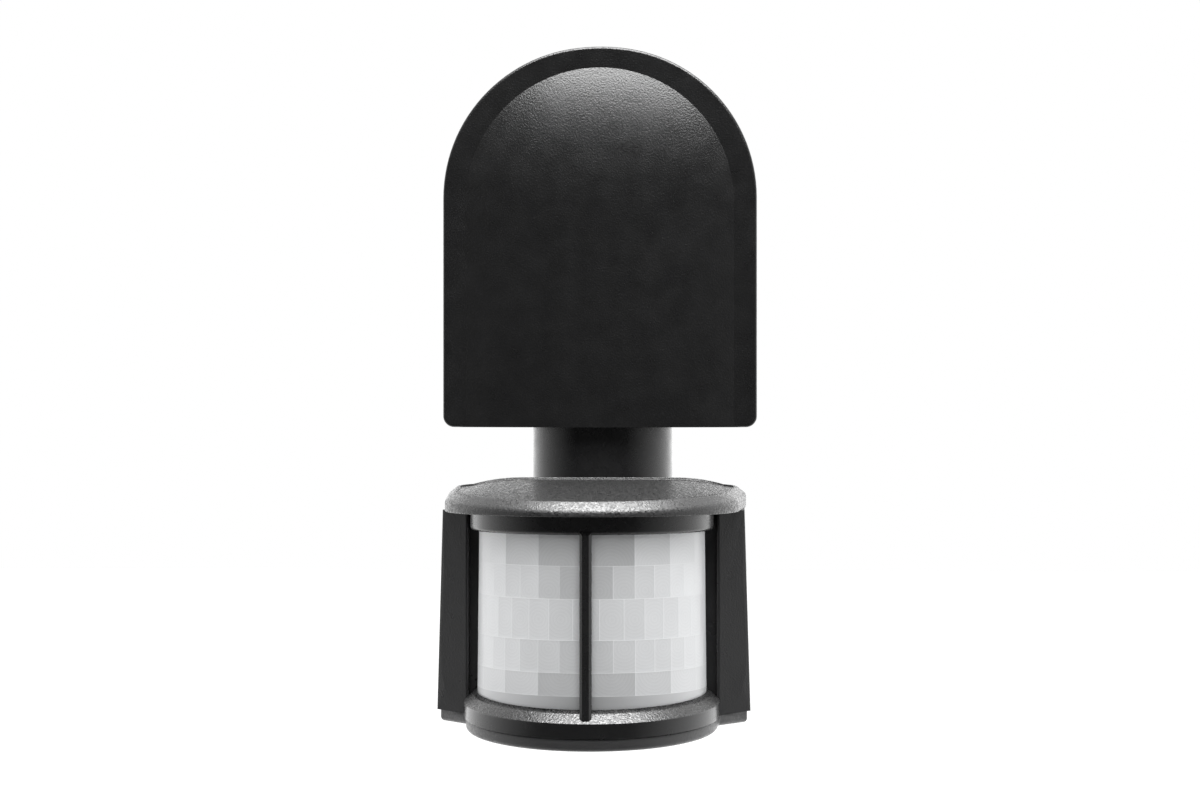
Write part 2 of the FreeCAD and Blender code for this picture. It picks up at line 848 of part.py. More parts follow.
def make_front_cover():
    body = new_body("front_cover")
    front = -d.box_depth

    # The raised front is a shallow dome above and the same curve run straight down below.
    half = d.box_width / 2 - d.band_side
    radius = (half * half + d.dome_rise * d.dome_rise) / (2 * d.dome_rise)
    centre_y = radius - d.box_depth - d.dome_rise
    centre_z = d.box_height / 2 - d.band_top - half
    inner_front = d.box_wall - d.box_depth
    raised = both_sides([line(half, box_low), line(half, centre_z)], over=(0, centre_z))
    pad(body, outline(body, "raised", "XZ", raised, lift=-inner_front), d.dome_rise + d.box_wall)
    above, below = centre_z + half + PAST, box_low - PAST
    outside = radius + d.dome_rise + PAST
    shaving = [
        line(-radius, centre_z),
        arc(-root(radius * radius - (half + PAST) * (half + PAST)), above, 0, centre_z, left=False),
        line(-outside, above),
        line(-outside, below),
        line(-radius, below),
    ]
    spin_cut(body, outline(body, "dome", "YZ", shaving, shift=centre_y))
    shell = outline(body, "shell", "XZ", arch(sized(0), d.box_corner), lift=cover_back)
    pad(body, shell, d.box_depth - cover_back)

    def outer_edge(edge):
        middle = edge.valueAt(sum(edge.ParameterRange) / 2)
        away = math.hypot(middle.x, max(middle.z - centre_z.number, 0))
        return lies_at(edge, "Y", front) and away > half.number + NEAR
    round_edges(body, "shell_round", d.band_round, outer_edge)

    # The hollow keeps one wall thickness behind the band and the dome.
    hollow = outline(body, "hollow", "XZ", arch(d.box_wall), lift=cover_back)
    cut(body, hollow, d.box_depth - d.box_wall - cover_back, back=True)
    inner_radius = radius - d.box_wall
    drop = centre_y - inner_front
    inner_half = root(inner_radius * inner_radius - drop * drop)
    shallow = inner_front + SUNK
    inner_dome = [
        line(0, shallow),
        line(inner_half, shallow),
        line(inner_half, inner_front),
        arc(0, front - d.dome_rise + d.box_wall, 0, centre_y, left=False),
    ]
    spin_cut(body, outline(body, "inner_dome", "XY", inner_dome, lift=centre_z))
    inner_swell = [line(inner_half, shallow), line(inner_half, inner_front),
                   arc(-inner_half, inner_front, 0, centre_y, left=False), line(-inner_half, shallow)]
    below = centre_z - box_low - d.box_wall
    cut(body, outline(body, "inner_swell", "XY", inner_swell, lift=centre_z), below)

    # The bottom wall is open at the back, so that the cover goes on over the neck.
    slot = horseshoe(sized(0), -neck_axis, d.neck_radius + 2 * d.part_gap, sized(0))
    slot_top = box_low + d.box_wall + PAST
    cut(body, outline(body, "neck_slot", "XY", slot, lift=slot_top), d.box_wall + 2 * PAST)
    holes = circles(body, "cover_screw_holes", "XY", cover_posts, d.screw_radius + d.seat_gap, lift=box_low)
    cut(body, holes, d.box_wall, back=True)
    sinks = circles(body, "cover_screw_sinks", "XY", cover_posts, d.screw_head + d.part_gap, lift=box_low)
    cut(body, sinks, d.screw_head_height, back=True)
    keep(body, "front_cover")


def make_cover_gasket():
    body = new_body("cover_gasket")
    loops = (arch(d.plate_inset, d.box_corner - d.plate_inset), arch(d.plate_inset + d.gasket_width))
    pad(body, outline(body, "gasket", "XZ", *loops, lift=d.plate_thick), d.gasket_thick)
    keep(body, "cover_gasket")


def make_cable_grommet():
    body = new_body("cable_grommet", height=d.entry_height)
    plate = -d.plate_thick
    flange = plate - d.entry_flange
    profile = [
        line(d.entry_bore, 0),
        line(d.entry_radius, 0),
        line(d.entry_radius, plate),
        line(d.entry_radius + d.entry_flange, plate),
        line(d.entry_radius + d.entry_flange, flange),
        line(d.entry_bore + d.entry_flange, flange),
        line(d.entry_bore + d.entry_flange / 2, flange - d.entry_collar),
        line(d.entry_bore, flange - d.entry_collar),
    ]
    spin(body, outline(body, "grommet", "XY", profile))
    keep(body, "cable_grommet")


def make_cable_clamp():
    foot_y = -(d.plate_thick + d.clamp_boss_height)
    outer = d.clamp_bore + d.clamp_thick
    body = new_body("cable_clamp", depth=foot_y, height=d.clamp_height - d.clamp_width / 2)
    end = d.clamp_spread + d.clamp_foot
    meet = root(outer * outer - d.clamp_thick * d.clamp_thick)
    half = [
        arc(d.clamp_bore, 0, 0, 0),
        line(end, 0),
        line(end, -d.clamp_thick),
        line(meet, -d.clamp_thick),
    ]
    pad(body, outline(body, "saddle", "XY", both_sides(half, over=(0, 0), left=False)), d.clamp_width)
    holes = [(x, d.clamp_width / 2) for x in sides(d.clamp_spread)]
    cut(body, circles(body, "saddle_holes", "XZ", holes, d.small_radius + d.seat_gap), back=True)
    keep(body, "cable_clamp")
    places = [(x, foot_y - d.clamp_thick, d.clamp_height) for x in sides(d.clamp_spread)]
    screws("clamp_screws", places, 90, small=True)


def make_terminal_block():
    body = new_body("terminal_block", depth=-d.plate_thick, height=d.block_middle)
    half = d.block_pitch * d.block_ways / 2
    tall = d.block_tall / 2
    pad(body, outline(body, "block", "XZ", rectangle(-half, -tall, half, tall)), d.block_depth)
    ways = SIZES["block_ways"]
    middles = [d.block_pitch * (count - (ways - 1) / 2) for count in range(ways)]
    screw_radius = d.block_screw_radius + d.shaft_gap
    tops = circles(body, "screw_wells", "XZ", [(x, 0) for x in middles], screw_radius, lift=d.block_depth)
    cut(body, tops, d.block_well)
    wires = [(x, -d.block_wire_height) for x in middles]
    cut(body, circles(body, "wire_ways", "XY", wires, d.block_wire_radius), both=True)
    fence = d.block_notch_width / 2
    gaps = [(low + high) / 2 for low, high in zip(middles, middles[1:])]
    slots = [rectangle(x - fence, -tall, x + fence, tall) for x in gaps]
    cut(body, outline(body, "fences", "XZ", *slots, lift=d.block_depth), d.block_notch_depth)
    keep(body, "terminal_block")

    well_floor = d.block_depth - d.block_well
    body = new_body("terminal_screws", depth=-d.plate_thick - well_floor, height=d.block_middle)
    length = d.block_screw_length
    pad(body, circles(body, "screw_bodies", "XZ", [(x, 0) for x in middles], d.block_screw_radius), length)
    half_wide = d.cross_width / 2
    long = d.block_screw_radius + PAST
    slots = [rectangle(x - long, -half_wide, x + long, half_wide) for x in middles]
    cut(body, outline(body, "screw_slots", "XZ", *slots, lift=length), d.cross_depth)
    keep(body, "terminal_screws")


def make_neck_retainer():
    body = new_body("neck_retainer", height=retainer_low)
    inner = flange_radius - d.retainer_overlap
    centre = (0, -neck_axis)
    disc = circles(body, "retainer_disc", "XY", [centre], flange_radius + d.retainer_rim)
    pad(body, disc, d.retainer_thick)
    end = d.retainer_post_spread + d.post_radius
    bar = rectangle(-end, post_y - d.post_radius, end, post_y + d.post_radius)
    pad(body, outline(body, "retainer_ears", "XY", bar), d.retainer_thick)
    cut(body, circles(body, "retainer_bore", "XY", [centre], inner, lift=d.retainer_thick))
    hole = d.screw_radius + d.seat_gap
    cut(body, circles(body, "ear_holes", "XY", retainer_posts, hole, lift=d.retainer_thick))
    keep(body, "neck_retainer")
    top = retainer_low + d.retainer_thick
    screws("retainer_screws", [(x, y, top) for x, y in retainer_posts], 0)


# Neck

def make_neck():
    body = new_body("neck_tube", depth=-neck_axis)
    bore = d.neck_radius - d.neck_wall
    seal_z = shelf_low + d.shelf_thick / 2
    groove = d.neck_radius - d.seal_depth
    floor = neck_end + d.neck_floor
    profile = [
        line(0, neck_end),
        line(d.neck_radius - d.neck_edge, neck_end),
        line(d.neck_radius, neck_end + d.neck_edge),
        line(d.neck_radius, seal_z - d.seal_height / 2),
        line(groove, seal_z - d.seal_height / 2),
        line(groove, seal_z + d.seal_height / 2),
        line(d.neck_radius, seal_z + d.seal_height / 2),
        line(d.neck_radius, flange_low),
        line(flange_radius, flange_low),
        line(flange_radius, flange_top),
        line(bore, flange_top),
        line(bore, floor),
        line(0, floor),
    ]
    spin(body, outline(body, "neck", "XZ", profile))
    knuckle = both_sides([arc(d.tongue_radius, hinge_z, 0, hinge_z), line(d.tongue_radius, neck_end + PAST)])
    pad(body, outline(body, "tongue", "YZ", knuckle), 2 * d.tongue_half, both=True)
    channel_z = neck_end - d.channel_drop
    well = circles(body, "wire_well", "XY", [(0, 0)], d.channel_radius + d.well_gap, lift=floor)
    cut(body, well, floor - channel_z + d.channel_radius + PAST)
    mouth = circles(body, "wire_mouth", "XZ", [(0, channel_z)], d.channel_radius)
    cut(body, mouth, back=True)
    bolt_hole = circles(body, "bolt_hole", "YZ", [(0, hinge_z)], d.bolt_radius + d.running_gap)
    cut(body, bolt_hole, both=True)
    keep(body, "neck_tube")

    # The seal is a square ring that stands a little proud of its groove.
    body = new_body("neck_seal", depth=-neck_axis, height=seal_z)
    half_seal = d.seal_height / 2 - d.shaft_gap
    ring = rectangle(groove, -half_seal, d.neck_radius + d.shaft_gap, half_seal)
    spin(body, outline(body, "seal", "XZ", ring))
    keep(body, "neck_seal")


# Head

def hat_outline(inset):
    """The hat's plan: round over the lens, flared sides, round back corners just over the housing's."""
    radius, corner = d.hat_radius - inset, d.head_corner - inset
    back = head_back + d.hat_overhang - inset
    turn = back - corner
    across, along = cosine(d.hat_flare), sine(d.hat_flare)
    middle = (radius - corner + turn * along) / across
    half = [
        arc(radius * across, -(radius * along), 0, 0),
        line(middle + corner * across, turn - corner * along),
        arc(middle, back, middle, turn),
    ]
    return both_sides(half)


def make_hat():
    """A cap whose top slopes to the front, sunk a little inside its bevelled and rounded rim."""
    body = new_body("hat", depth=head_y, height=hat_under + d.hat_middle, lean=d.hat_slope)
    radius, deep = d.hat_radius, d.hat_middle * 2
    front_height = d.hat_middle - radius * tangent(d.hat_slope)
    under = -(d.hat_middle / cosine(d.hat_slope))
    pad(body, outline(body, "hat_plan", "XY", hat_outline(sized(0))), deep, back=True)
    bevel = smaller(d.rim_bevel, front_height - 3 * d.hat_edge)
    round_edges(body, "rim_slope", bevel, lambda edge: lies_at(edge, "Z", sized(0)), kind="Chamfer")
    wall_left = (front_height - bevel - d.hat_edge) / tangent(sized(22.5))
    round_edges(body, "rim_outside", smaller(d.rim_round, wall_left), lambda edge: lies_at(edge, "Z", -bevel))
    round_edges(body, "rim_top", d.rim_crown, lambda edge: lies_at(edge, "Z", sized(0)))
    cut(body, outline(body, "hat_top", "XY", hat_outline(d.rim_width)), d.hat_recess)

    def crease(edge):
        return lies_at(edge, "Z", sized(0)) or lies_at(edge, "Z", -d.hat_recess)
    round_edges(body, "hat_crease", smaller(d.crease_round, d.hat_recess * 0.45), crease)
    cut(body, circles(body, "hat_hollow", "XY", [(0, 0)], d.hat_hollow, lift=-d.hat_skin))
    spots = hat_front_bosses + hat_back_bosses
    bosses = circles(body, "hat_bosses", "XY", spots, d.post_radius, lift=-d.hat_skin)
    pad(body, bosses, deep - d.hat_skin, back=True)
    wide = 2 * radius
    level = rectangle(-wide, -wide, wide, wide)
    cut(body, outline(body, "hat_level", "XY", level, lift=under, tilt=-d.hat_slope))
    pilot = d.small_radius + d.shaft_gap
    lean_shift = d.hat_middle * tangent(d.hat_slope)
    level_spots = [(x, y - lean_shift) for x, y in spots]
    pilots = circles(body, "hat_pilots", "XY", level_spots, pilot, lift=under, tilt=-d.hat_slope)
    cut(body, pilots, d.hat_middle - d.hat_skin - d.hat_boss_end, back=True)
    slope = math.tan(math.radians(d.hat_slope.number))

    def bottom_rim(edge):
        points = [vertex.Point for vertex in edge.Vertexes] + [edge.valueAt(sum(edge.ParameterRange) / 2)]
        flat = all(abs(point.z - under.number + slope * point.y) < NEAR for point in points)
        return flat and all(math.hypot(point.x, point.y) > d.hat_hollow.number + PAST for point in points)
    round_edges(body, "hat_edge_round", d.hat_edge, bottom_rim)
    keep(body, "hat")


def make_rear_housing():
    body = new_body("rear_housing", depth=head_y)
    low = seam_z - 2 * PAST
    inner_back = head_back - d.head_wall
    top = outline(body, "housing_top", "XY", housing_outline(d.half_top), lift=hat_under)
    bottom = outline(body, "housing_low", "XY", housing_outline(d.half_low), lift=low)
    loft(body, "AdditiveLoft", top, bottom)

    def upright_at(y_size):
        return lambda edge: lies_at(edge, "Y", y_size) and edge.BoundBox.ZLength > d.head_corner.number

    def wing_corner(edge):
        box = edge.BoundBox
        behind = lies_at(edge, "Y", head_back) or lies_at(edge, "Y", d.channel_back)
        return box.ZLength > d.head_corner.number and not behind
    round_edges(body, "wing_corners", d.wing_round, wing_corner)
    inner_top = outline(body, "hollow_top", "XY", housing_inside(d.half_top), lift=roof_under)
    inner_low = outline(body, "hollow_low", "XY", housing_inside(d.half_low), lift=low - PAST)
    loft(body, "SubtractiveLoft", inner_top, inner_low)
    round_edges(body, "inner_corners", d.head_corner - d.head_wall, upright_at(inner_back))
    round_edges(body, "back_corners", d.head_corner, upright_at(head_back))
    window = rectangle(-d.opening_half, 0, d.opening_half, d.channel_back + d.head_wall + PAST)
    cut(body, outline(body, "window", "XY", window, lift=roof_under))
    posts = circles(body, "cap_posts", "XY", cap_back_posts, d.post_radius, lift=roof_under + SUNK)
    pad(body, posts, roof_under - low, back=True)
    standoffs = circles(body, "standoffs", "XZ", board_screw_places, d.standoff_radius,
                        lift=-inner_back - SUNK)
    pad(body, standoffs, d.standoff + SUNK)

    # Two cheeks behind the back wall hold the neck's tongue between them.
    cheek_in = d.tongue_half + d.part_gap
    cheek = [
        line(inner_back + PAST, hinge_z - d.cheek_radius),
        line(hinge_back, hinge_z - d.cheek_radius),
        arc(hinge_back, hinge_z + d.cheek_radius, hinge_back, hinge_z),
        line(inner_back + PAST, hinge_z + d.cheek_radius),
    ]
    mirror(body, pad(body, outline(body, "cheek", "YZ", cheek, lift=cheek_in), d.cheek_thick))
    below = rectangle(-d.half_low * 2, -lens_axis, d.half_low * 2, lens_axis)
    cut(body, outline(body, "seam_plane", "XY", below, lift=seam_z, tilt=d.seam_slope))
    bolt = circles(body, "cheek_bore", "YZ", [(hinge_back, hinge_z)], d.bolt_radius + d.shaft_gap)
    cut(body, bolt, both=True)
    wire_hole = circles(body, "wire_hole", "XZ", [(0, neck_end - d.channel_drop)],
                        d.channel_radius + d.wire_wall, lift=PAST - inner_back)
    cut(body, wire_hole, d.head_wall + 2 * PAST)
    roof_hole = d.small_radius + d.seat_gap
    cut(body, circles(body, "roof_holes", "XY", hat_back_bosses, roof_hole, lift=hat_under), d.head_wall)
    pilot = d.screw_radius + d.shaft_gap
    cap_pilots = circles(body, "cap_pilots", "XY", cap_back_posts, pilot, lift=seam_z, tilt=d.seam_slope)
    cut(body, cap_pilots, d.screw_bite, back=True)
    board_pilots = circles(body, "board_pilots", "XZ", board_screw_places, d.small_radius + d.shaft_gap,
                           lift=d.standoff - inner_back)
    cut(body, board_pilots, d.small_bite)
    keep(body, "rear_housing")


def make_wire_grommet():
    inner_back = head_back - d.head_wall
    body = new_body("wire_grommet", depth=head_y + inner_back, height=neck_end - d.channel_drop)
    outer = d.channel_radius + d.wire_wall
    tail = d.head_wall + d.wire_tail
    profile = [
        line(d.channel_radius, -d.wire_lip),
        line(outer + d.wire_lip, -d.wire_lip),
        line(outer + d.wire_lip, 0),
        line(outer, 0),
        line(outer, tail),
        line(d.channel_radius, tail),
    ]
    spin(body, outline(body, "wire_ring", "XY", profile))
    keep(body, "wire_grommet")


def make_lens_guard():
    """The smooth ring under the hat, with the slim rib that runs down in front of the lens."""
    body = new_body("lens_guard", depth=head_y)
    slot_out = d.lens_top_radius + d.seat_gap
    slot_in = d.lens_top_radius - d.lens_thick - d.seat_gap
    inner = slot_in - d.lens_holder
    lower = ring_low + d.ring_round
    corner = d.ring_radius - d.ring_round
    profile = [
        line(-d.ring_flange_radius, hat_under),
        line(-d.ring_radius, hat_under),
        line(-d.ring_radius, lower),
        arc(-corner, ring_low, -corner, lower),
        line(-slot_out, ring_low),
        line(-slot_out, ring_low + d.lens_tuck + d.seat_gap),
        line(-slot_in, ring_low + d.lens_tuck + d.seat_gap),
        line(-slot_in, ring_low),
        line(-inner, ring_low),
        line(-inner, hat_under - d.ring_flange),
        line(-d.ring_flange_radius, hat_under - d.ring_flange),
    ]
    spin(body, outline(body, "guard_ring", "YZ", profile), sweep_to(d.ring_radius))

    # The rib's foot is cut along the lower ring's chamfer.
    chamfer_y, chamfer_z = ring_front(d.lens_low_radius + d.seat_gap, d.band_height + d.chamfer_rise)
    foot_y, foot_z = ring_front(d.band_radius, d.band_height)
    fall = (foot_z - chamfer_z) / (foot_y - chamfer_y)
    gap = sized(d.thrust_gap)
    rib = [
        line(-d.rib_inner, ring_low + d.ring_round),
        line(-d.ring_radius, ring_low + d.ring_round),
        line(-d.rib_outer, ring_low),
        line(-d.rib_outer, chamfer_z + gap + fall * (-d.rib_outer - chamfer_y)),
        line(-d.rib_inner, chamfer_z + gap + fall * (-d.rib_inner - chamfer_y)),
    ]
    pad(body, outline(body, "guard_rib", "YZ", rib), d.rib_width, both=True)
    side = d.rib_width / 2

    def outer_edge(edge):
        box = edge.BoundBox
        upright = lies_at(edge, "Y", -d.rib_outer) and box.ZLength > PAST
        return upright and abs(abs(box.XMax) - side.number) < NEAR
    round_edges(body, "rib_bevel", d.rib_bevel, outer_edge, kind="Chamfer")
    holes = circles(body, "guard_holes", "XY", hat_front_bosses, d.small_radius + d.seat_gap, lift=hat_under)
    cut(body, holes, d.ring_flange)
    keep(body, "lens_guard")


def ring_front(radius, height):
    """Where a point of the lower ring's section comes at the front, in the upright frame."""
    y = -(radius * cosine(d.seam_slope)) - height * sine(d.seam_slope)
    z = seam_z - radius * sine(d.seam_slope) + height * cosine(d.seam_slope)
    return y, z


def make_fresnel_lens():
    """The lens: a thin curved sheet with grooves between its rows and columns of facets."""
    body = new_body("fresnel_lens", depth=head_y)
    top = ring_low + d.lens_tuck
    ledge = seam_z + d.ledge_height / cosine(d.seam_slope)
    bottom = ledge - d.lens_low_radius * tangent(d.seam_slope) - PAST
    taper = (d.lens_low_radius - d.lens_top_radius) / (ring_low - bottom)

    def surface(z):
        return d.lens_top_radius + taper * (ring_low - z)

    edges = [ring_low]
    for height in (d.row_one, d.row_two, d.row_three, d.row_four, d.row_five):
        edges.append(edges[-1] - height)
    half_groove = d.groove_width / 2
    outer = [line(-d.lens_top_radius, top), line(-d.lens_top_radius, ring_low)]
    for z in edges[1:]:
        outer += [
            line(-surface(z + half_groove), z + half_groove),
            line(d.groove_depth - surface(z), z),
            line(-surface(z - half_groove), z - half_groove),
        ]
    outer += [
        line(-d.lens_low_radius, bottom),
        line(d.lens_thick - d.lens_low_radius, bottom),
        line(d.lens_thick - d.lens_top_radius, top),
    ]
    spin(body, outline(body, "lens_sheet", "YZ", outer), sweep_to(d.lens_low_radius))
    seat = rectangle(-d.half_low * 2, -lens_axis, d.half_low * 2, lens_axis)
    cut(body, outline(body, "lens_seat", "XY", seat, lift=ledge, tilt=d.seam_slope))

    # The top and bottom rows have facets twice as wide as those between them, and the middle row's
    # are half a facet on.
    facet_counts = (d.wide_facets, d.narrow_facets, d.narrow_facets, d.narrow_facets, d.wide_facets)
    shares = (0, 0, 0.5, 0, 0)
    for row_number, (high, low, count, share) in enumerate(zip(edges, edges[1:], facet_counts, shares)):
        high, low = high - d.groove_width, low + d.groove_width
        name = "column_%d" % (row_number + 1)
        slot = [
            line(d.groove_depth - surface(high), high),
            line(-surface(high) - PAST, high),
            line(-surface(low) - PAST, low),
            line(d.groove_depth - surface(low), low),
        ]
        turn = sized(360 * share) / count
        section = outline(body, name, "YZ", slot, tilt=turn, axis=Y_AXIS)
        groove = spin_cut(body, section, d.groove_width / surface(low) * math.degrees(1))
        ring_pattern(body, groove, count)
    keep(body, "fresnel_lens")


def make_lower_ring():
    """The ring below the lens, in the sloped frame of the seam: chamfer, band and lens ledge."""
    body = new_body("lower_ring", depth=head_y, height=seam_z, lean=d.seam_slope)
    slot_out = d.lens_low_radius + d.seat_gap
    slot_in = slot_out - d.lens_thick - d.ledge_slack
    inner = slot_in - d.lens_holder
    lip = d.ledge_height + d.ledge_lip
    profile = [
        line(-inner, 0),
        line(-inner, lip),
        line(-slot_in, lip),
        line(-slot_in, d.ledge_height),
        line(-slot_out, d.ledge_height),
        line(-slot_out, d.band_height + d.chamfer_rise),
        line(-d.band_radius, d.band_height),
        line(-d.band_radius, 0),
    ]
    spin(body, outline(body, "lens_ring", "YZ", profile), sweep_to(d.band_radius))
    lug_x, lug_y = cap_front_post
    lug = rectangle(lug_x - d.post_radius, -inner - SUNK, lug_x + d.post_radius, lug_y + d.post_radius)
    pad(body, outline(body, "ring_lug", "XY", lug), lip)
    pilot = circles(body, "lug_pilot", "XY", [cap_front_post], d.screw_radius + d.shaft_gap)
    cut(body, pilot, back=True)
    keep(body, "lower_ring")


def make_bottom_cap():
    body = new_body("bottom_cap", depth=head_y, height=seam_z, lean=d.seam_slope)
    pad(body, outline(body, "cap", "XY", cap_outline(d.cap_inset)), d.cap_thick, back=True)
    round_edges(body, "cap_round", d.cap_round, lambda edge: lies_at(edge, "Z", -d.cap_thick))
    cut(body, outline(body, "seal_step", "XY", cap_outline(d.cap_seal_inset)), d.cap_seal_thick)
    inside = cap_outline(d.cap_seal_inset + d.cap_seal_width)
    cut(body, outline(body, "cap_hollow", "XY", inside), d.cap_thick - d.cap_floor)
    floor = -(d.cap_thick - d.cap_floor)
    posts = circles(body, "control_posts", "XY", control_posts, d.control_post_radius, lift=floor - SUNK)
    pad(body, posts, d.control_height - floor + SUNK)
    pilot = d.small_radius + d.shaft_gap
    pilots = circles(body, "control_pilots", "XY", control_posts, pilot, lift=d.control_height)
    cut(body, pilots, d.small_bite + d.part_gap)
    wells = circles(body, "knob_wells", "XY", knob_places, d.knob_radius + d.part_gap)
    cut(body, wells)
    places = cap_back_posts + [cap_front_post]
    bosses = circles(body, "cap_bosses", "XY", places, d.screw_head + d.cap_boss_wall, lift=floor - SUNK)
    pad(body, bosses, SUNK - floor)
    cut(body, circles(body, "cap_holes", "XY", places, d.screw_radius + d.seat_gap))
    sinks = circles(body, "cap_sinks", "XY", places, d.screw_head + d.seat_gap, lift=-d.cap_thick)
    cut(body, sinks, d.screw_head_height + d.seat_gap, back=True)
    keep(body, "bottom_cap")


def make_cap_gasket():
    body = new_body("cap_gasket", depth=head_y, height=seam_z, lean=d.seam_slope)
    loops = (cap_outline(d.cap_seal_inset), cap_outline(d.cap_seal_inset + d.cap_seal_width))
    pad(body, outline(body, "cap_seal", "XY", *loops), d.cap_seal_thick, back=True)
    keep(body, "cap_gasket")


def make_tilt_bolt():
    """The hinge bolt with its nut: both clamp the cheeks from outside."""
    body = new_body("tilt_bolt", depth=-neck_axis, height=hinge_z)
    outside = d.tongue_half + d.part_gap + d.cheek_thick
    tip = -(outside + d.nut_height + d.bolt_tail)
    head_end = outside + d.bolt_head_height
    profile = [
        line(tip, 0),
        line(tip, d.bolt_radius - d.bolt_point),
        line(tip + d.bolt_point, d.bolt_radius),
        line(outside, d.bolt_radius),
        line(outside, d.bolt_head_radius),
        line(head_end - d.bolt_bevel, d.bolt_head_radius),
        line(head_end, d.bolt_head_radius - d.bolt_bevel),
        line(head_end, 0),
    ]
    spin(body, outline(body, "bolt_half", "XZ", profile), axis="H_Axis")
    slot = rectangle(-d.bolt_head_radius, -d.cross_width, d.bolt_head_radius, d.cross_width)
    cut(body, outline(body, "bolt_slot", "YZ", slot, lift=head_end), d.cross_depth * 2)
    keep(body, "tilt_bolt")

    corner = d.nut_flats / root(sized(3))
    prism = primitive("Prism", "nut_hexagon", Circumradius=corner, Height=d.nut_height)
    prism.Polygon = 6
    hole = primitive("Cylinder", "nut_bore", Radius=d.bolt_radius + d.shaft_gap, Height=d.nut_height)
    nut = boolean("Cut", "tilt_nut", prism, hole)
    place(nut, -(outside + d.nut_height), -neck_axis, hinge_z, lean=90, axis=Y_AXIS)
    keep(nut, "tilt_nut")


# Inside the head

def board_part(name, shape_steps, thick):
    """A part that stands on the main board's front, drawn as seen from the front."""
    body = new_body(name, depth=board_face)
    pad(body, outline(body, name + "_face", "XZ", shape_steps), thick)
    return body


def make_boards():
    half, low = d.board_half, board_top - d.board_tall
    body = new_body("main_board", depth=board_face + d.board_thick)
    pad(body, outline(body, "board", "XZ", rectangle(-half, low, half, board_top)), d.board_thick)
    holes = circles(body, "board_holes", "XZ", board_screw_places, d.small_radius + d.seat_gap)
    cut(body, holes, back=True)
    keep(body, "main_board")
    screws("board_screws", [(x, board_face, z) for x, z in board_screw_places], 90, small=True)

    def upright_edge(edge):
        return edge.BoundBox.YLength > PAST
    top = board_top - d.relay_drop
    relay_face = rectangle(-d.relay_left, top - d.relay_side, d.relay_side - d.relay_left, top)
    relay = board_part("relay", relay_face, d.relay_thick)
    round_edges(relay, "relay_bevels", d.relay_bevel, upright_edge, kind="Chamfer")
    keep(relay, "relay")
    film_face = rectangle(d.film_left, top - d.film_tall, d.film_left + d.film_width, top)
    film = board_part("film_capacitor", film_face, d.film_thick)
    round_edges(film, "film_corners", d.film_round, upright_edge)
    keep(film, "film_capacitor")
    can = primitive("Cylinder", "electrolytic_capacitor", Radius=d.can_radius, Height=d.can_length)
    place(can, d.can_across, board_face, board_top - d.can_drop, lean=90)
    keep(can, "electrolytic_capacitor")


def make_sensor():
    """The bracket that carries the infrared sensor on the lens axis, and the parts on it."""
    front = head_y - d.carrier_front
    back = front + d.carrier_thick
    sensor_z = hat_under - d.sensor_drop
    leg_x = d.board_half - d.leg_radius - d.leg_margin
    leg_z = d.carrier_tall / 2 - d.leg_radius
    legs = [(x, sensor_z + z) for x in sides(leg_x) for z in sides(leg_z)]
    plate_half, half_tall = leg_x + d.leg_radius, d.carrier_tall / 2
    body = new_body("sensor_carrier", depth=back)
    hole_half, hole_tall = d.carrier_hole_half, d.carrier_hole_tall / 2
    hollow = rectangle(-hole_half, sensor_z - hole_tall, hole_half, sensor_z + hole_tall)
    face = rectangle(-plate_half, sensor_z - half_tall, plate_half, sensor_z + half_tall)
    pad(body, outline(body, "carrier_plate", "XZ", face, hollow), d.carrier_thick)
    legs_sketch = circles(body, "carrier_legs", "XZ", legs, d.leg_radius, lift=back - board_face)
    pad(body, legs_sketch, board_face - back + SUNK)
    keep(body, "sensor_carrier")

    board_half, tall = d.sensor_board_half, d.sensor_board_tall / 2
    body = new_body("sensor_board", depth=front, height=sensor_z)
    plate = rectangle(-board_half, -tall, board_half, tall)
    pad(body, outline(body, "sensor_plate", "XZ", plate), d.board_thick)
    keep(body, "sensor_board")
    face_y = front - d.board_thick
    rim = d.sensor_can_radius + d.sensor_rim
    can_profile = [
        line(0, 0),
        line(rim, 0),
        line(rim, -d.sensor_rim_height),
        line(d.sensor_can_radius, -d.sensor_rim_height),
        line(d.sensor_can_radius, -d.sensor_can_length),
        line(0, -d.sensor_can_length),
    ]
    body = new_body("pir_sensor", depth=face_y, height=sensor_z)
    spin(body, outline(body, "can_half", "XY", can_profile))
    eye_half, eye_tall = d.sensor_eye_width / 2, d.sensor_eye_tall / 2
    eye = rectangle(-eye_half, -eye_tall, eye_half, eye_tall)
    cut(body, outline(body, "can_window", "XZ", eye, lift=d.sensor_can_length), d.sensor_eye_depth)
    keep(body, "pir_sensor")
    cell = primitive("Cylinder", "photocell", Radius=d.cell_radius, Height=d.cell_thick)
    place(cell, -d.cell_across, face_y, sensor_z - d.cell_drop, lean=90)
    keep(cell, "photocell")
    light = new_body("indicator_light", across=d.cell_across, depth=face_y, height=sensor_z - d.cell_drop)
    round_start = d.light_radius - d.light_length
    bulb = [
        line(0, 0),
        line(d.light_rim, 0),
        line(d.light_rim, -d.light_rim_height),
        line(d.light_radius, -d.light_rim_height),
        line(d.light_radius, round_start),
        arc(0, -d.light_length, 0, round_start, left=False),
    ]
    spin(light, outline(light, "light_half", "XY", bulb))
    keep(light, "indicator_light")


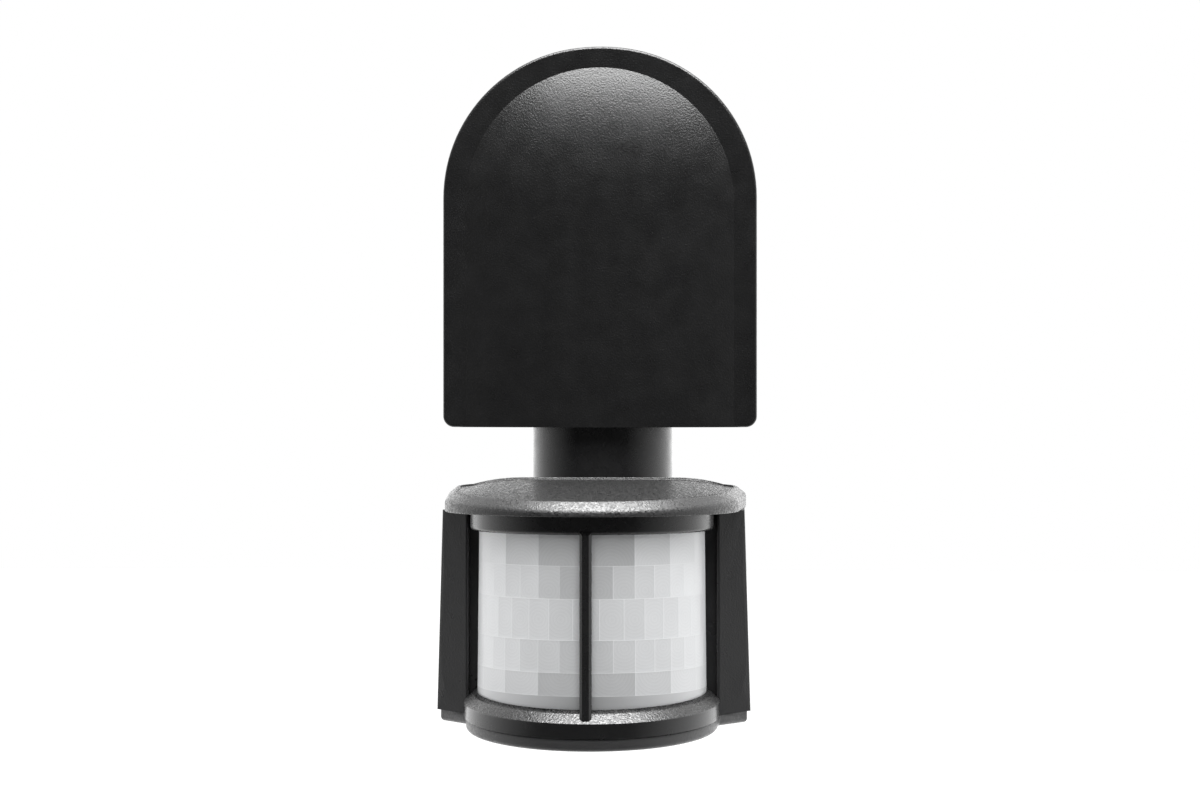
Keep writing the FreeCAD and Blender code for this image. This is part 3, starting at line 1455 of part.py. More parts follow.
def make_control_board():
    body = new_body("control_board", depth=head_y, height=seam_z, lean=d.seam_slope)
    radius = d.control_radius
    side = root(radius * radius - d.control_back * d.control_back)
    shape = both_sides([arc(side, d.control_back, 0, 0)])
    pad(body, outline(body, "control_plate", "XY", shape, lift=d.control_height), d.board_thick)
    holes = circles(body, "control_holes", "XY", control_posts, d.small_radius + d.seat_gap,
                    lift=d.control_height + d.board_thick)
    cut(body, holes)
    keep(body, "control_board")
    top = d.control_height + d.board_thick
    screws("control_screws", [on_seam(x, y, top) for x, y in control_posts], d.seam_slope, small=True)

    body = new_body("trimmers", depth=head_y, height=seam_z, lean=d.seam_slope)
    half = d.trimmer_side / 2
    boxes = [rectangle(x - half, y - half, x + half, y + half) for x, y in knob_places]
    low = d.control_height - d.trimmer_tall
    pad(body, outline(body, "trimmer_boxes", "XY", *boxes, lift=low), d.trimmer_tall)
    bores = circles(body, "trimmer_bores", "XY", knob_places, d.knob_shaft + d.shaft_gap, lift=low)
    cut(body, bores, back=True)
    keep(body, "trimmers")


def make_knob(label, x, y):
    """A slotted, fluted knob that sits a little below the face of the bottom cap."""
    body = new_body(label, *on_seam(x, y, sized(0)), lean=d.seam_slope)
    face = d.knob_sink - d.cap_thick
    top = face + d.knob_thick
    profile = [
        line(0, face),
        line(d.knob_radius - d.knob_edge, face),
        line(d.knob_radius, face + d.knob_edge),
        line(d.knob_radius, top),
        line(d.knob_shaft, top),
        line(d.knob_shaft, d.knob_reach),
        line(0, d.knob_reach),
    ]
    spin(body, outline(body, label + "_half", "XZ", profile))
    flute_y = d.knob_flute_depth - d.knob_flute_radius - d.knob_radius
    flute = circles(body, label + "_flute", "XY", [(0, flute_y)], d.knob_flute_radius, lift=top)
    first = cut(body, flute)
    ring_pattern(body, first, d.knob_flutes)
    half_long, half_wide = d.knob_slot_length / 2, d.knob_slot_width / 2
    slot = rectangle(-half_long, -half_wide, half_long, half_wide)
    cut(body, outline(body, label + "_slot", "XY", slot, lift=face), d.knob_slot_depth, back=True)
    keep(body, label)


make_wall_base()
make_front_cover()
make_cover_gasket()
make_cable_grommet()
make_cable_clamp()
make_terminal_block()
screws("cover_screws", [(x, y, box_low + d.screw_head_height) for x, y in cover_posts], 180)
make_neck_retainer()
make_neck()
make_hat()
make_rear_housing()
make_wire_grommet()
make_lens_guard()
make_fresnel_lens()
make_lower_ring()
make_bottom_cap()
make_cap_gasket()
make_tilt_bolt()
hat_screw_places = [(x, head_y + y, hat_under - d.ring_flange) for x, y in hat_front_bosses]
hat_screw_places += [(x, head_y + y, roof_under) for x, y in hat_back_bosses]
screws("hat_screws", hat_screw_places, 180, small=True)
cap_screw_height = d.screw_head_height - d.cap_thick
cap_screw_places = [on_seam(x, y, cap_screw_height) for x, y in cap_back_posts + [cap_front_post]]
screws("cap_screws", cap_screw_places, 180 + d.seam_slope)
make_boards()
make_sensor()
make_control_board()
for knob_label, (knob_x, knob_y) in zip(("time_knob", "light_knob", "sensitivity_knob"), knob_places):
    make_knob(knob_label, knob_x, knob_y)

doc.recompute()
for item in doc.Objects:
    if "Invalid" in item.State or "Error" in item.State:
        raise ValueError("%s did not build: %s" % (item.Name, item.State))
for made in cuts:
    if made.BaseFeature and made.Shape.Volume >= made.BaseFeature.Shape.Volume:
        raise ValueError("%s removes nothing" % made.Name)
for item in pieces:
    if item.Shape.isNull() or not item.Shape.isValid() or not item.Shape.Solids:
        raise ValueError("%s has no valid shape" % item.Label)

os.makedirs("parts", exist_ok=True)
for item in pieces:
    item.Shape.exportStep("parts/%s.step" % item.Label)
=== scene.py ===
import math

import bmesh
import bpy
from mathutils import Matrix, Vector


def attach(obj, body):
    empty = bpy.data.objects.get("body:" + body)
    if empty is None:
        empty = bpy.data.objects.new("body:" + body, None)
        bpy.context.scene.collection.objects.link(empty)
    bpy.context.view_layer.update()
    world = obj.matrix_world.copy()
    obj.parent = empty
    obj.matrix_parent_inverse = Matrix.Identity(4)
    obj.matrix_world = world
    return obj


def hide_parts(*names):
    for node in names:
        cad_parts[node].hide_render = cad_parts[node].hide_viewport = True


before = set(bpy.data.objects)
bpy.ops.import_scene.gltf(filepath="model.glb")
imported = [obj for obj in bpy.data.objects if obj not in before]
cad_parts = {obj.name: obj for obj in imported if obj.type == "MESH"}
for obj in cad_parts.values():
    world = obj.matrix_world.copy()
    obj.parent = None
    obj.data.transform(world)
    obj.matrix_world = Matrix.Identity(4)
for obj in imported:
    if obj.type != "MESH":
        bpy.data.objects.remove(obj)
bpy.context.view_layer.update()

MM = 0.001

# Axis of the lens, and the sloped plane of the seam between the lower ring and the bottom cap
LENS_Y = -83 * MM
SEAM_SLOPE = math.radians(4)
SEAM_POINT = Vector((0, LENS_Y, -124.7 * MM))
SEAM_UP = Vector((0, -math.sin(SEAM_SLOPE), math.cos(SEAM_SLOPE)))
BAND_HEIGHT = 3.9

# Brightness of the black plastic, and how much more of it is blue
BLACK, BLUE_LEAN = 0.0095, 1.03
# Grains to a metre: the pebbles of the moulded grain and the specks that shine apart
PEBBLES, SPECKS = 2300, 2600
# Millimetres across the lens's own map, and between the fine rings of a facet
OPTIC_SPAN, RING_PITCH = 40, 0.85


def add_node(tree, kind, inputs=(), **settings):
    """A new node, with its inputs linked to sockets or set to values."""
    made = tree.nodes.new(kind)
    for name, value in settings.items():
        setattr(made, name, value)
    for key, value in dict(inputs).items():
        if isinstance(value, bpy.types.NodeSocket):
            tree.links.new(value, made.inputs[key])
        else:
            made.inputs[key].default_value = value
    return made


# Materials: every finish is a Principled shader with procedural grain in the object's own space
class Finish:
    """A material whose nodes are added one by one."""

    def __init__(self, name, colour, roughness, **sockets):
        self.material = bpy.data.materials.new(name)
        self.material.use_nodes = True
        self.tree = self.material.node_tree
        self.shader = self.tree.nodes["Principled BSDF"]
        self.colour = (*colour, 1)
        self.shader.inputs["Base Color"].default_value = self.colour
        self.shader.inputs["Roughness"].default_value = roughness
        for socket, value in sockets.items():
            self.shader.inputs[socket.replace("_", " ")].default_value = value
        self.place = self.node("ShaderNodeTexCoord").outputs["Object"]

    def node(self, kind, inputs=(), **settings):
        return add_node(self.tree, kind, inputs, **settings)

    def noise(self, scale, detail):
        inputs = {"Vector": self.place, "Scale": scale, "Detail": detail}
        return self.node("ShaderNodeTexNoise", inputs).outputs["Fac"]

    def cells(self, scale):
        inputs = {"Vector": self.place, "Scale": scale}
        return self.node("ShaderNodeTexVoronoi", inputs).outputs["Distance"]

    def speckle(self, scale):
        """A value that is random from grain to grain."""
        inputs = {"Vector": self.place, "Scale": scale}
        return self.node("ShaderNodeTexVoronoi", inputs).outputs["Color"]

    def maths(self, operation, *values):
        return self.node("ShaderNodeMath", enumerate(values), operation=operation).outputs[0]

    def spread(self, value, low, high, start=0.3, end=0.7):
        """Turns a value between start and end into one between low and high."""
        inputs = {"Value": value, "From Min": start, "From Max": end}
        inputs |= {"To Min": low, "To Max": high}
        return self.node("ShaderNodeMapRange", inputs).outputs["Result"]

    def tint(self, value, low, high):
        """Colours the surface between low and high times its own colour."""
        dark = (*[c * low for c in self.colour[:3]], 1)
        light = (*[min(c * high, 1) for c in self.colour[:3]], 1)
        inputs = {"Factor": value, 6: dark, 7: light}
        mixed = self.node("ShaderNodeMix", inputs, data_type="RGBA")
        self.tree.links.new(mixed.outputs[2], self.shader.inputs["Base Color"])

    def rough(self, value):
        self.tree.links.new(value, self.shader.inputs["Roughness"])

    def bump(self, height, distance, strength):
        """Adds one more layer of bump on top of those already there."""
        socket = self.shader.inputs["Normal"]
        inputs = {"Height": height, "Distance": distance, "Strength": strength}
        if socket.is_linked:
            inputs["Normal"] = socket.links[0].from_socket
        bump = self.node("ShaderNodeBump", inputs)
        self.tree.links.new(bump.outputs["Normal"], socket)


def black(brightness):
    """A black that leans a little to blue."""
    return (brightness, brightness, brightness * BLUE_LEAN)


def grained_black(name="grained_black", brightness=BLACK):
    """Moulded plastic with the pebbled grain of an eroded mould."""
    finish = Finish(name, black(brightness), 0.3, Specular_IOR_Level=0.5)
    pebbles = finish.noise(PEBBLES, 1.5)
    finish.tint(finish.noise(55, 4), 0.9, 1.12)
    finish.rough(finish.spread(finish.noise(180, 3), 0.27, 0.34))
    finish.bump(pebbles, 0.00012, 0.6)
    return finish.material


def coarse_black(name, brightness, rough_low, rough_high):
    """The same plastic, with grains that shine more or less than their neighbours."""
    middle = (rough_low + rough_high) / 2
    finish = Finish(name, black(brightness), middle, Specular_IOR_Level=0.7)
    finish.tint(finish.noise(55, 4), 0.9, 1.12)
    finish.rough(finish.spread(finish.speckle(SPECKS), rough_low, rough_high, 0.2, 0.8))
    finish.bump(finish.noise(PEBBLES, 1.0), 0.00012, 0.6)
    return finish.material


def chamfered_black():
    """The lower ring's plastic: coarse on its chamfer and nearly smooth on its band."""
    finish = Finish("chamfered_black", (0.0095, 0.0095, 0.0098), 0.24, Specular_IOR_Level=0.7)
    along = {0: finish.place, 1: SEAM_UP}
    rise = finish.node("ShaderNodeVectorMath", along, operation="DOT_PRODUCT")
    band_top = SEAM_POINT.dot(SEAM_UP) + BAND_HEIGHT * MM
    blend = 0.1 * MM
    coarse = finish.spread(rise.outputs["Value"], 0, 1, band_top - blend, band_top + blend)
    grains = finish.spread(finish.speckle(SPECKS), 0.16, 0.5, 0.2, 0.8)
    smooth = finish.spread(finish.noise(300, 4), 0.22, 0.28)
    chosen = finish.node("ShaderNodeMix", {"Factor": coarse, 2: smooth, 3: grains})
    finish.rough(chosen.outputs[0])
    finish.tint(finish.noise(70, 3), 0.94, 1.06)
    finish.bump(finish.maths("MULTIPLY", finish.noise(PEBBLES, 1.0), coarse), 0.0002, 0.6)
    return finish.material


def smooth_black(name="smooth_black", brightness=0.010):
    """The same plastic from a polished part of the mould."""
    finish = Finish(name, black(brightness), 0.24)
    finish.tint(finish.noise(70, 3), 0.94, 1.06)
    finish.rough(finish.spread(finish.noise(300, 4), 0.22, 0.32))
    finish.bump(finish.noise(900, 3), 0.00001, 0.4)
    return finish.material


def rubber():
    finish = Finish("rubber", (0.022, 0.022, 0.022), 0.7)
    finish.tint(finish.noise(400, 4), 0.8, 1.3)
    finish.bump(finish.noise(1500, 3), 0.00005, 0.6)
    return finish.material


def metal(name, colour, roughness):
    """Plated metal with turning marks and small blemishes."""
    finish = Finish(name, colour, roughness, Metallic=1.0)
    finish.tint(finish.noise(700, 4), 0.82, 1.05)
    finish.rough(finish.spread(finish.noise(1600, 3), roughness * 0.7, roughness * 1.4))
    finish.bump(finish.noise(2600, 2), 0.00002, 0.5)
    return finish.material


def plain_plastic(name, colour, roughness, grain=1200):
    finish = Finish(name, colour, roughness)
    finish.tint(finish.noise(150, 4), 0.92, 1.06)
    finish.rough(finish.spread(finish.noise(500, 3), roughness * 0.85, roughness * 1.15))
    finish.bump(finish.noise(grain, 3), 0.00003, 0.5)
    return finish.material


def circuit_board():
    """Green lacquer over copper tracks and the weave of the glass cloth."""
    finish = Finish("circuit_board", (0.03, 0.17, 0.07), 0.3)
    tracks = finish.cells(260)
    finish.tint(finish.spread(tracks, 0, 1, 0.25, 0.32), 0.7, 1.3)
    finish.bump(finish.spread(tracks, 0, 1, 0.25, 0.32), 0.00004, 0.6)
    finish.bump(finish.noise(3000, 1), 0.00001, 0.4)
    return finish.material


def milky_lens():
    """Translucent white sheet: fine rings in each facet and a lighter line between facets."""
    finish = Finish("lens_plastic", (0.88, 0.89, 0.9), 0.34, Specular_IOR_Level=0.5)
    # The sheet's colour comes from its points: painted light and shade, with a small random
    # tone
    tone_and_painted_shade = finish.node("ShaderNodeAttribute", attribute_name="tone_and_painted_shade").outputs["Fac"]
    seam = finish.node("ShaderNodeAttribute", attribute_name="seam").outputs["Fac"]
    optic = finish.node("ShaderNodeUVMap", uv_map="optic").outputs["UV"]
    middle = {0: optic, 1: (0.5, 0.5, 0)}
    centred = finish.node("ShaderNodeVectorMath", middle, operation="SUBTRACT")
    away = finish.node("ShaderNodeVectorMath", {0: centred.outputs[0]}, operation="LENGTH")
    pitches = finish.maths("MULTIPLY", away.outputs["Value"], OPTIC_SPAN / RING_PITCH)
    rings = finish.maths("FRACT", pitches)
    shade = finish.maths("ADD", tone_and_painted_shade, finish.spread(rings, -0.025, 0.025, 0, 1))
    shade = finish.maths("ADD", shade, finish.spread(finish.noise(140, 3), -0.015, 0.015))
    bright = finish.maths("ADD", shade, finish.maths("MULTIPLY", seam, 0.25))
    finish.tint(bright, 0.0, 1.0)
    finish.bump(rings, 0.00003, 0.5)
    finish.bump(finish.noise(1500, 2), 0.00001, 0.3)

    # Part of the light goes through the sheet instead of back from it.
    through = finish.node("ShaderNodeBsdfTranslucent", {"Color": (0.9, 0.91, 0.92, 1)})
    mixed = finish.node("ShaderNodeMixShader", {0: 0.15})
    finish.tree.links.new(finish.shader.outputs[0], mixed.inputs[1])
    finish.tree.links.new(through.outputs[0], mixed.inputs[2])
    output = finish.tree.nodes["Material Output"]
    finish.tree.links.new(mixed.outputs[0], output.inputs["Surface"])
    return finish.material


finishes = {
    "grained_black": grained_black(),
    "smooth_black": smooth_black(),
    "lens_plastic": milky_lens(),
    "rubber": rubber(),
    "steel": metal("steel", (0.6, 0.6, 0.62), 0.3),
    "brass": metal("brass", (0.72, 0.55, 0.25), 0.25),
    "pale_plastic": plain_plastic("pale_plastic", (0.75, 0.75, 0.72), 0.45),
    "circuit_board": circuit_board(),
    "relay_plastic": plain_plastic("relay_plastic", (0.02, 0.08, 0.3), 0.25),
    "capacitor_film": plain_plastic("capacitor_film", (0.45, 0.08, 0.05), 0.2, 300),
    "capacitor_sleeve": plain_plastic("capacitor_sleeve", (0.02, 0.02, 0.05), 0.2, 300),
    "trimmer_plastic": plain_plastic("trimmer_plastic", (0.1, 0.2, 0.5), 0.4),
    "cell_plastic": plain_plastic("cell_plastic", (0.5, 0.4, 0.2), 0.35),
    "light_plastic": plain_plastic("light_plastic", (0.6, 0.03, 0.02), 0.15, 400),
}
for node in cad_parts.values():
    for held in node.material_slots:
        held.material = finishes[held.material.name.split(".")[0]]

# The hat, the lower ring and the cap have a coarser grain, and the housing is a little lighter
cap_black = coarse_black("cap_black", 0.028, 0.34, 0.5)
hat_black = coarse_black("hat_black", 0.0125, 0.26, 0.6)
housing_black = grained_black("housing_black", 0.018)
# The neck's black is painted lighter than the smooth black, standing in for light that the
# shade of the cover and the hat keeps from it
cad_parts["neck_tube"].material_slots[0].material = smooth_black("neck_black_painted_lighter", 0.014)


# Lens: a swept sheet with a raised line round every facet. Heights and radii are in
# millimetres, and columns are in degrees from the front.
ROW_EDGES = [-77.2, -84.9, -93.0, -103.1, -111.1, -116.8]
WIDE_EDGES = [0, 24.3, 45, 66, 88]
NARROW_EDGES = [0, 13.2, 24.3, 35, 45.2, 55.2, 66, 77, 88]
MIDDLE_EDGES = [6.5, 18.6, 29.5, 40.3, 50.7, 61.5, 72.5, 84]
# For each row: its column edges, its painted shade at the middle and at the sides, and how far
# down it the rings are centred. The shade is painted: the top row dark in the hat's shadow, the
# middle of every row darker with the head's dark inside behind the sheet, the sides lighter
# where the bright surroundings light them, and the lower rows darker towards the ring
ROWS = [
    (WIDE_EDGES, 0.38, 1.0, 1.0),
    (NARROW_EDGES, 0.49, 1.0, 0.75),
    (MIDDLE_EDGES, 0.63, 0.97, 0.5),
    (NARROW_EDGES, 0.56, 0.95, 0.25),
    (WIDE_EDGES, 0.45, 0.94, 0.0),
]
# Painted shade of the plain strips above and below the facets, at the middle and at the sides
TOP_STRIP, BOTTOM_STRIP = (0.5, 0.95), (0.32, 0.8)
# Degrees from the front at which the painted light of the sides is full
PAINTED_SIDE_ANGLE = 60
FACET_SPREAD = 0.025
LENS_TOP, LENS_SWEEP = -74.7, 98.5
LENS_THICK = 1.3
LENS_RADIUS_TOP, LENS_RADIUS_BOTTOM, LENS_RADIUS_MEAN = 28.8, 29.3, 29
LENS_TAPER_HEIGHT = 48.34
LENS_FLOOR = -122.495
ANGLE_STEP, HEIGHT_STEP = 1.1, 0.7
FLOOR_STEPS, INNER_STEPS = 6, 8
INNER_TONE = 0.9
SEAM_HALF, SEAM_RISE = 0.11, 0.02
ON_SEAM = 0.6
OPTIC_SCALE = 1 / OPTIC_SPAN


def lens_radius(z):
    widening = LENS_RADIUS_BOTTOM - LENS_RADIUS_TOP
    return LENS_RADIUS_TOP + widening * (ROW_EDGES[0] - z) / LENS_TAPER_HEIGHT


def lens_floor(angle):
    """Height of the sloped lower edge of the lens, at an angle from its front."""
    forward = LENS_RADIUS_BOTTOM * math.cos(math.radians(angle))
    return LENS_FLOOR - forward * math.tan(SEAM_SLOPE)


def lens_point(angle, radius, z):
    """The place at an angle from the front, a radius from the lens's axis and a height."""
    turn = math.radians(angle)
    return (radius * MM * math.sin(turn), LENS_Y - radius * MM * math.cos(turn), z * MM)


def mirrored(edges):
    return sorted({-e for e in edges} | set(edges))


def stops(edges, low, high, seam, step):
    """Places from low to high: the edges, both sides of their seams, and steps between."""
    found = {low, high}
    for edge in edges:
        found |= {edge - seam, edge, edge + seam}
    kept = sorted(v for v in found if low <= v <= high)
    places = [kept[0]]
    for place in kept[1:]:
        gap = place - places[-1]
        count = max(1, round(gap / step))
        start = places[-1]
        places += [start + gap * (i + 1) / count for i in range(count)]
    return places


def painted_shade_at(angle, middle, side):
    """Painted light and shade: the sheet is coloured darker at its middle, in front of the
    head's dark inside, and lighter towards its lit sides.
    """
    return middle + (side - middle) * min(abs(angle) / PAINTED_SIDE_ANGLE, 1)


def smooth_faces(mesh):
    mesh.polygons.foreach_set("use_smooth", [True] * len(mesh.polygons))


def build_lens():
    """The facets of the sheet. Each row has its own columns, so it has its own faces."""
    points, faces, painted_shades_and_tones, seams, optics = [], [], [], [], []
    seam_angle = math.degrees(SEAM_HALF / LENS_RADIUS_MEAN)
    for number, (edges, middle, side, share) in enumerate(ROWS):
        columns = mirrored(edges)
        high, low = ROW_EDGES[number], ROW_EDGES[number + 1]
        rows = [high, low] if number else [low]
        angles = stops(columns, -LENS_SWEEP, LENS_SWEEP, seam_angle, ANGLE_STEP)
        heights = stops(rows, low, high, SEAM_HALF, HEIGHT_STEP)[::-1]
        first, wide = len(points), len(angles)
        for z in heights:
            on_row = min(abs(z - r) for r in rows) < SEAM_HALF * ON_SEAM
            for angle in angles:
                on_column = min(abs(angle - c) for c in columns) < seam_angle * ON_SEAM
                lift = SEAM_RISE if on_column or on_row else 0
                points.append(lens_point(angle, lens_radius(z) + lift, z))
                seams.append(1.0 if lift else 0.0)
                left = max((c for c in columns if c <= angle + 1e-6), default=-LENS_SWEEP)
                right = min((c for c in columns if c > angle + 1e-6), default=LENS_SWEEP)
                centre = (left + right) / 2
                # Each facet's colour: painted shade by its row and its angle, and a small
                # random tone of its own
                vary = FACET_SPREAD * math.sin(12.9 * centre + 7.3 * number)
                painted_shades_and_tones.append(painted_shade_at(centre, middle, side) + vary)
                across = math.radians(angle - centre) * LENS_RADIUS_MEAN
                down = z - (high + (low - high) * share)
                optics.append((0.5 + across * OPTIC_SCALE, 0.5 + down * OPTIC_SCALE))
        for j in range(len(heights) - 1):
            for i in range(wide - 1):
                a = first + j * wide + i
                faces.append((a, a + wide, a + wide + 1, a + 1))
    return points, faces, painted_shades_and_tones, seams, optics


def make_lens():
    """The lens piece: facets, plain strips above and below them, and a plain inner side."""
    points, faces, painted_shades_and_tones, seams, optics = build_lens()
    count = round(2 * LENS_SWEEP / ANGLE_STEP)
    angles = [-LENS_SWEEP + 2 * LENS_SWEEP * i / count for i in range(count + 1)]

    def band(heights_at, inward, shades, flip):
        """Adds a plain band; heights_at gives the heights from top to bottom at an angle."""
        first = len(points)
        for angle in angles:
            for z in heights_at(angle):
                points.append(lens_point(angle, lens_radius(z) - inward, z))
                painted_shades_and_tones.append(painted_shade_at(angle, *shades))
                seams.append(0.0)
                optics.append((0.5, 0.5))
        tall = len(heights_at(0))
        for i in range(count):
            for j in range(tall - 1):
                a = first + i * tall + j
                face = (a, a + 1, a + tall + 1, a + tall)
                faces.append(face[::-1] if flip else face)

    def down_to_floor(top, steps):
        """The heights at an angle, in even steps from a level to the sloped lower edge."""
        return lambda angle: [
            top + (lens_floor(angle) - top) * step / steps for step in range(steps + 1)
        ]

    # The strips above and below the facets are coloured with painted shade; the inner side has
    # one even tone
    band(lambda angle: [LENS_TOP, ROW_EDGES[0]], 0, TOP_STRIP, False)
    band(down_to_floor(ROW_EDGES[-1], FLOOR_STEPS), 0, BOTTOM_STRIP, False)
    band(down_to_floor(LENS_TOP, INNER_STEPS), LENS_THICK, (INNER_TONE, INNER_TONE), True)

    def rim(z_at, flip):
        """Closes the sheet's thickness along its upper or lower edge."""
        first = len(points)
        for angle in angles:
            z = z_at(angle)
            for inward in (0, LENS_THICK):
                points.append(lens_point(angle, lens_radius(z) - inward, z))
                painted_shades_and_tones.append(INNER_TONE)
                seams.append(0.0)
                optics.append((0.5, 0.5))
        for i in range(count):
            a = first + i * 2
            face = (a, a + 2, a + 3, a + 1)
            faces.append(face[::-1] if flip else face)

    rim(lambda angle: LENS_TOP, False)
    rim(lens_floor, True)

    mesh = bpy.data.meshes.new("segmented_lens")
    mesh.from_pydata(points, [], faces)
    for name, values in (("tone_and_painted_shade", painted_shades_and_tones), ("seam", seams)):
        layer = mesh.attributes.new(name, "FLOAT", "POINT")
        layer.data.foreach_set("value", values)
    uv = mesh.uv_layers.new(name="optic")
    for loop in mesh.loops:
        uv.data[loop.index].uv = optics[loop.vertex_index]
    smooth_faces(mesh)
    mesh.materials.append(finishes["lens_plastic"])
    lens = bpy.data.objects.new("segmented_lens", mesh)
    bpy.context.scene.collection.objects.link(lens)
    return lens


lens = make_lens()
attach(lens, "head")
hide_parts("fresnel_lens")


# Lower ring, bottom cap, hat and housing: the same shapes with the edges eased at the seam,
# the hat's back corners bent down and the wings' tips further in. Sizes are in millimetres.
CAP_EASE = (0.35, 0.3)
RING_EASE = (0.25, 0.2)
SAME = 0.01
# Points that are closer than this, in metres, are one
WELD = 1e-7
SHARP_ANGLE = math.radians(32)
# A point inside the head from which every outer wall faces away
HEAD_MIDDLE = Vector((0, -50 * MM, -124.7 * MM))
HAT_FLAT_HALF, HAT_HALF = 20.0, 33.5
HAT_BEND_FRONT, HAT_BEND_BACK = -100.0, -60.0
HAT_DROP = 1.6
HAT_STEP = 1.5
HAT_ROWS = range(-108, -28, 8)
WING_LIP, WING_TIP, WING_OUTER, WING_TIP_BACK = 32.7, 33.4, 39.3, -77.2
WING_WIDER = 1.0


def between(value, low, high):
    return min(max((value - low) / (high - low), 0), 1)


def seam_height(point):
    return (point - SEAM_POINT).dot(SEAM_UP) / MM


def slice_mesh(shape, point, normal):
    """Adds a row of edges where a plane crosses the mesh."""
    whole = shape.verts[:] + shape.edges[:] + shape.faces[:]
    bmesh.ops.bisect_plane(shape, geom=whole, plane_co=point, plane_no=normal, dist=WELD)


def ease_seam(shape, side, ease):
    """Cuts back the outer edge on the seam, by ease[0] inward and ease[1] along the wall."""
    inward, along = ease
    slice_mesh(shape, SEAM_POINT + SEAM_UP * side * along * MM, SEAM_UP)
    shape.normal_update()
    moves = {}
    for vertex in shape.verts:
        if abs(seam_height(vertex.co)) > SAME:
            continue
        walls = [f.normal for f in vertex.link_faces if abs(f.normal.dot(SEAM_UP)) < 0.3]
        walls = [n for n in walls if n.dot(vertex.co - HEAD_MIDDLE) > 0]
        if walls:
            away = sum(walls, Vector()).normalized()
            moves[vertex] = away * (-inward * MM / max(away.dot(walls[0]), 0.5))
    for vertex, move in moves.items():
        vertex.co += move


def bend_hat(shape):
    """Bends the back corners of the hat down, most at the corner and not at its lower edge."""
    count = round((HAT_HALF - HAT_FLAT_HALF) / HAT_STEP)
    for i in range(count + 1):
        for side in (-1, 1):
            slice_mesh(shape, (side * (HAT_FLAT_HALF + i * HAT_STEP) * MM, 0, 0), (1, 0, 0))
    for y in HAT_ROWS:
        slice_mesh(shape, (0, y * MM, 0), (0, 1, 0))
    heights = [v.co.z for v in shape.verts]
    low, high = min(heights), max(heights)
    for vertex in shape.verts:
        across = between(abs(vertex.co.x) / MM, HAT_FLAT_HALF, HAT_HALF)
        back = between(vertex.co.y / MM, HAT_BEND_FRONT, HAT_BEND_BACK)
        upward = between(vertex.co.z, low, high)
        vertex.co.z -= HAT_DROP * MM * across * across * back * upward


def widen_wings(mesh):
    """Moves each wing's tip inward beside the lens, and the rest of its front by less."""
    for vertex in mesh.vertices:
        across, depth = vertex.co.x / MM, vertex.co.y / MM
        if abs(across) > WING_LIP and depth < WING_TIP_BACK:
            share = between(WING_OUTER - abs(across), 0, WING_OUTER - WING_TIP)
            vertex.co.x -= math.copysign(WING_WIDER * MM, across) * share


def stand_in(mesh, name, node, finish):
    """A piece of the head that shows a mesh in place of a node."""
    mesh.name = name
    mesh.materials.clear()
    mesh.materials.append(finish)
    piece = bpy.data.objects.new(name, mesh)
    bpy.context.scene.collection.objects.link(piece)
    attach(piece, "head")
    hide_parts(node)
    return piece


def refined(name, node, finish, reshape, *values):
    """A piece with a node's shape and a change to it, in place of that node."""
    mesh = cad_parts[node].data.copy()
    shape = bmesh.new()
    shape.from_mesh(mesh)
    bmesh.ops.remove_doubles(shape, verts=shape.verts, dist=WELD)
    reshape(shape, *values)
    shape.to_mesh(mesh)
    shape.free()
    smooth_faces(mesh)
    mesh.set_sharp_from_angle(angle=SHARP_ANGLE)
    piece = stand_in(mesh, name, node, finish)
    level_faces = piece.modifiers.new("level_faces", "WEIGHTED_NORMAL")
    level_faces.weight = 100
    level_faces.keep_sharp = True


refined("eased_cap", "bottom_cap", cap_black, ease_seam, -1, CAP_EASE)
refined("eased_lower_ring", "lower_ring", chamfered_black(), ease_seam, 1, RING_EASE)
refined("bent_hat", "hat", hat_black, bend_hat)
housing_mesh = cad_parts["rear_housing"].data.copy()
widen_wings(housing_mesh)
stand_in(housing_mesh, "wide_winged_housing", "rear_housing", housing_black)


# Camera: level, a little to the right of the detector's own front
CAMERA_PLACE = (34.9 * MM, -772.1 * MM, -44.15 * MM)
CAMERA_TURN = math.radians(2.73)
FOCAL_LENGTH, SENSOR_WIDTH = 81, 36
camera_data = bpy.data.cameras.new("camera")
camera_data.lens = FOCAL_LENGTH
camera_data.sensor_width = SENSOR_WIDTH
camera_data.clip_end = 50
camera = bpy.data.objects.new("camera", camera_data)
camera.location = CAMERA_PLACE
camera.rotation_euler = (math.radians(90), 0, CAMERA_TURN)
bpy.context.scene.collection.objects.link(camera)
bpy.context.scene.camera = camera


# Light: surroundings that are bright behind the detector and dim towards the camera, one lamp
# above that is seen only in the plastic's shine, and one in front that gives the even light
WHITE = (1, 1, 1, 1)
BRIGHT_SIDE, DIM_SIDE = 2.3, 0.04
DIM_FROM = 0.707
DIM_TURN = math.radians(4)
TO_DIM_SIDE = Vector((-math.sin(DIM_TURN), -math.cos(DIM_TURN), 0))


def bare_tree(holder):
    """The empty node tree of a world or a material."""
    holder.use_nodes = True
    holder.node_tree.nodes.clear()
    return holder.node_tree


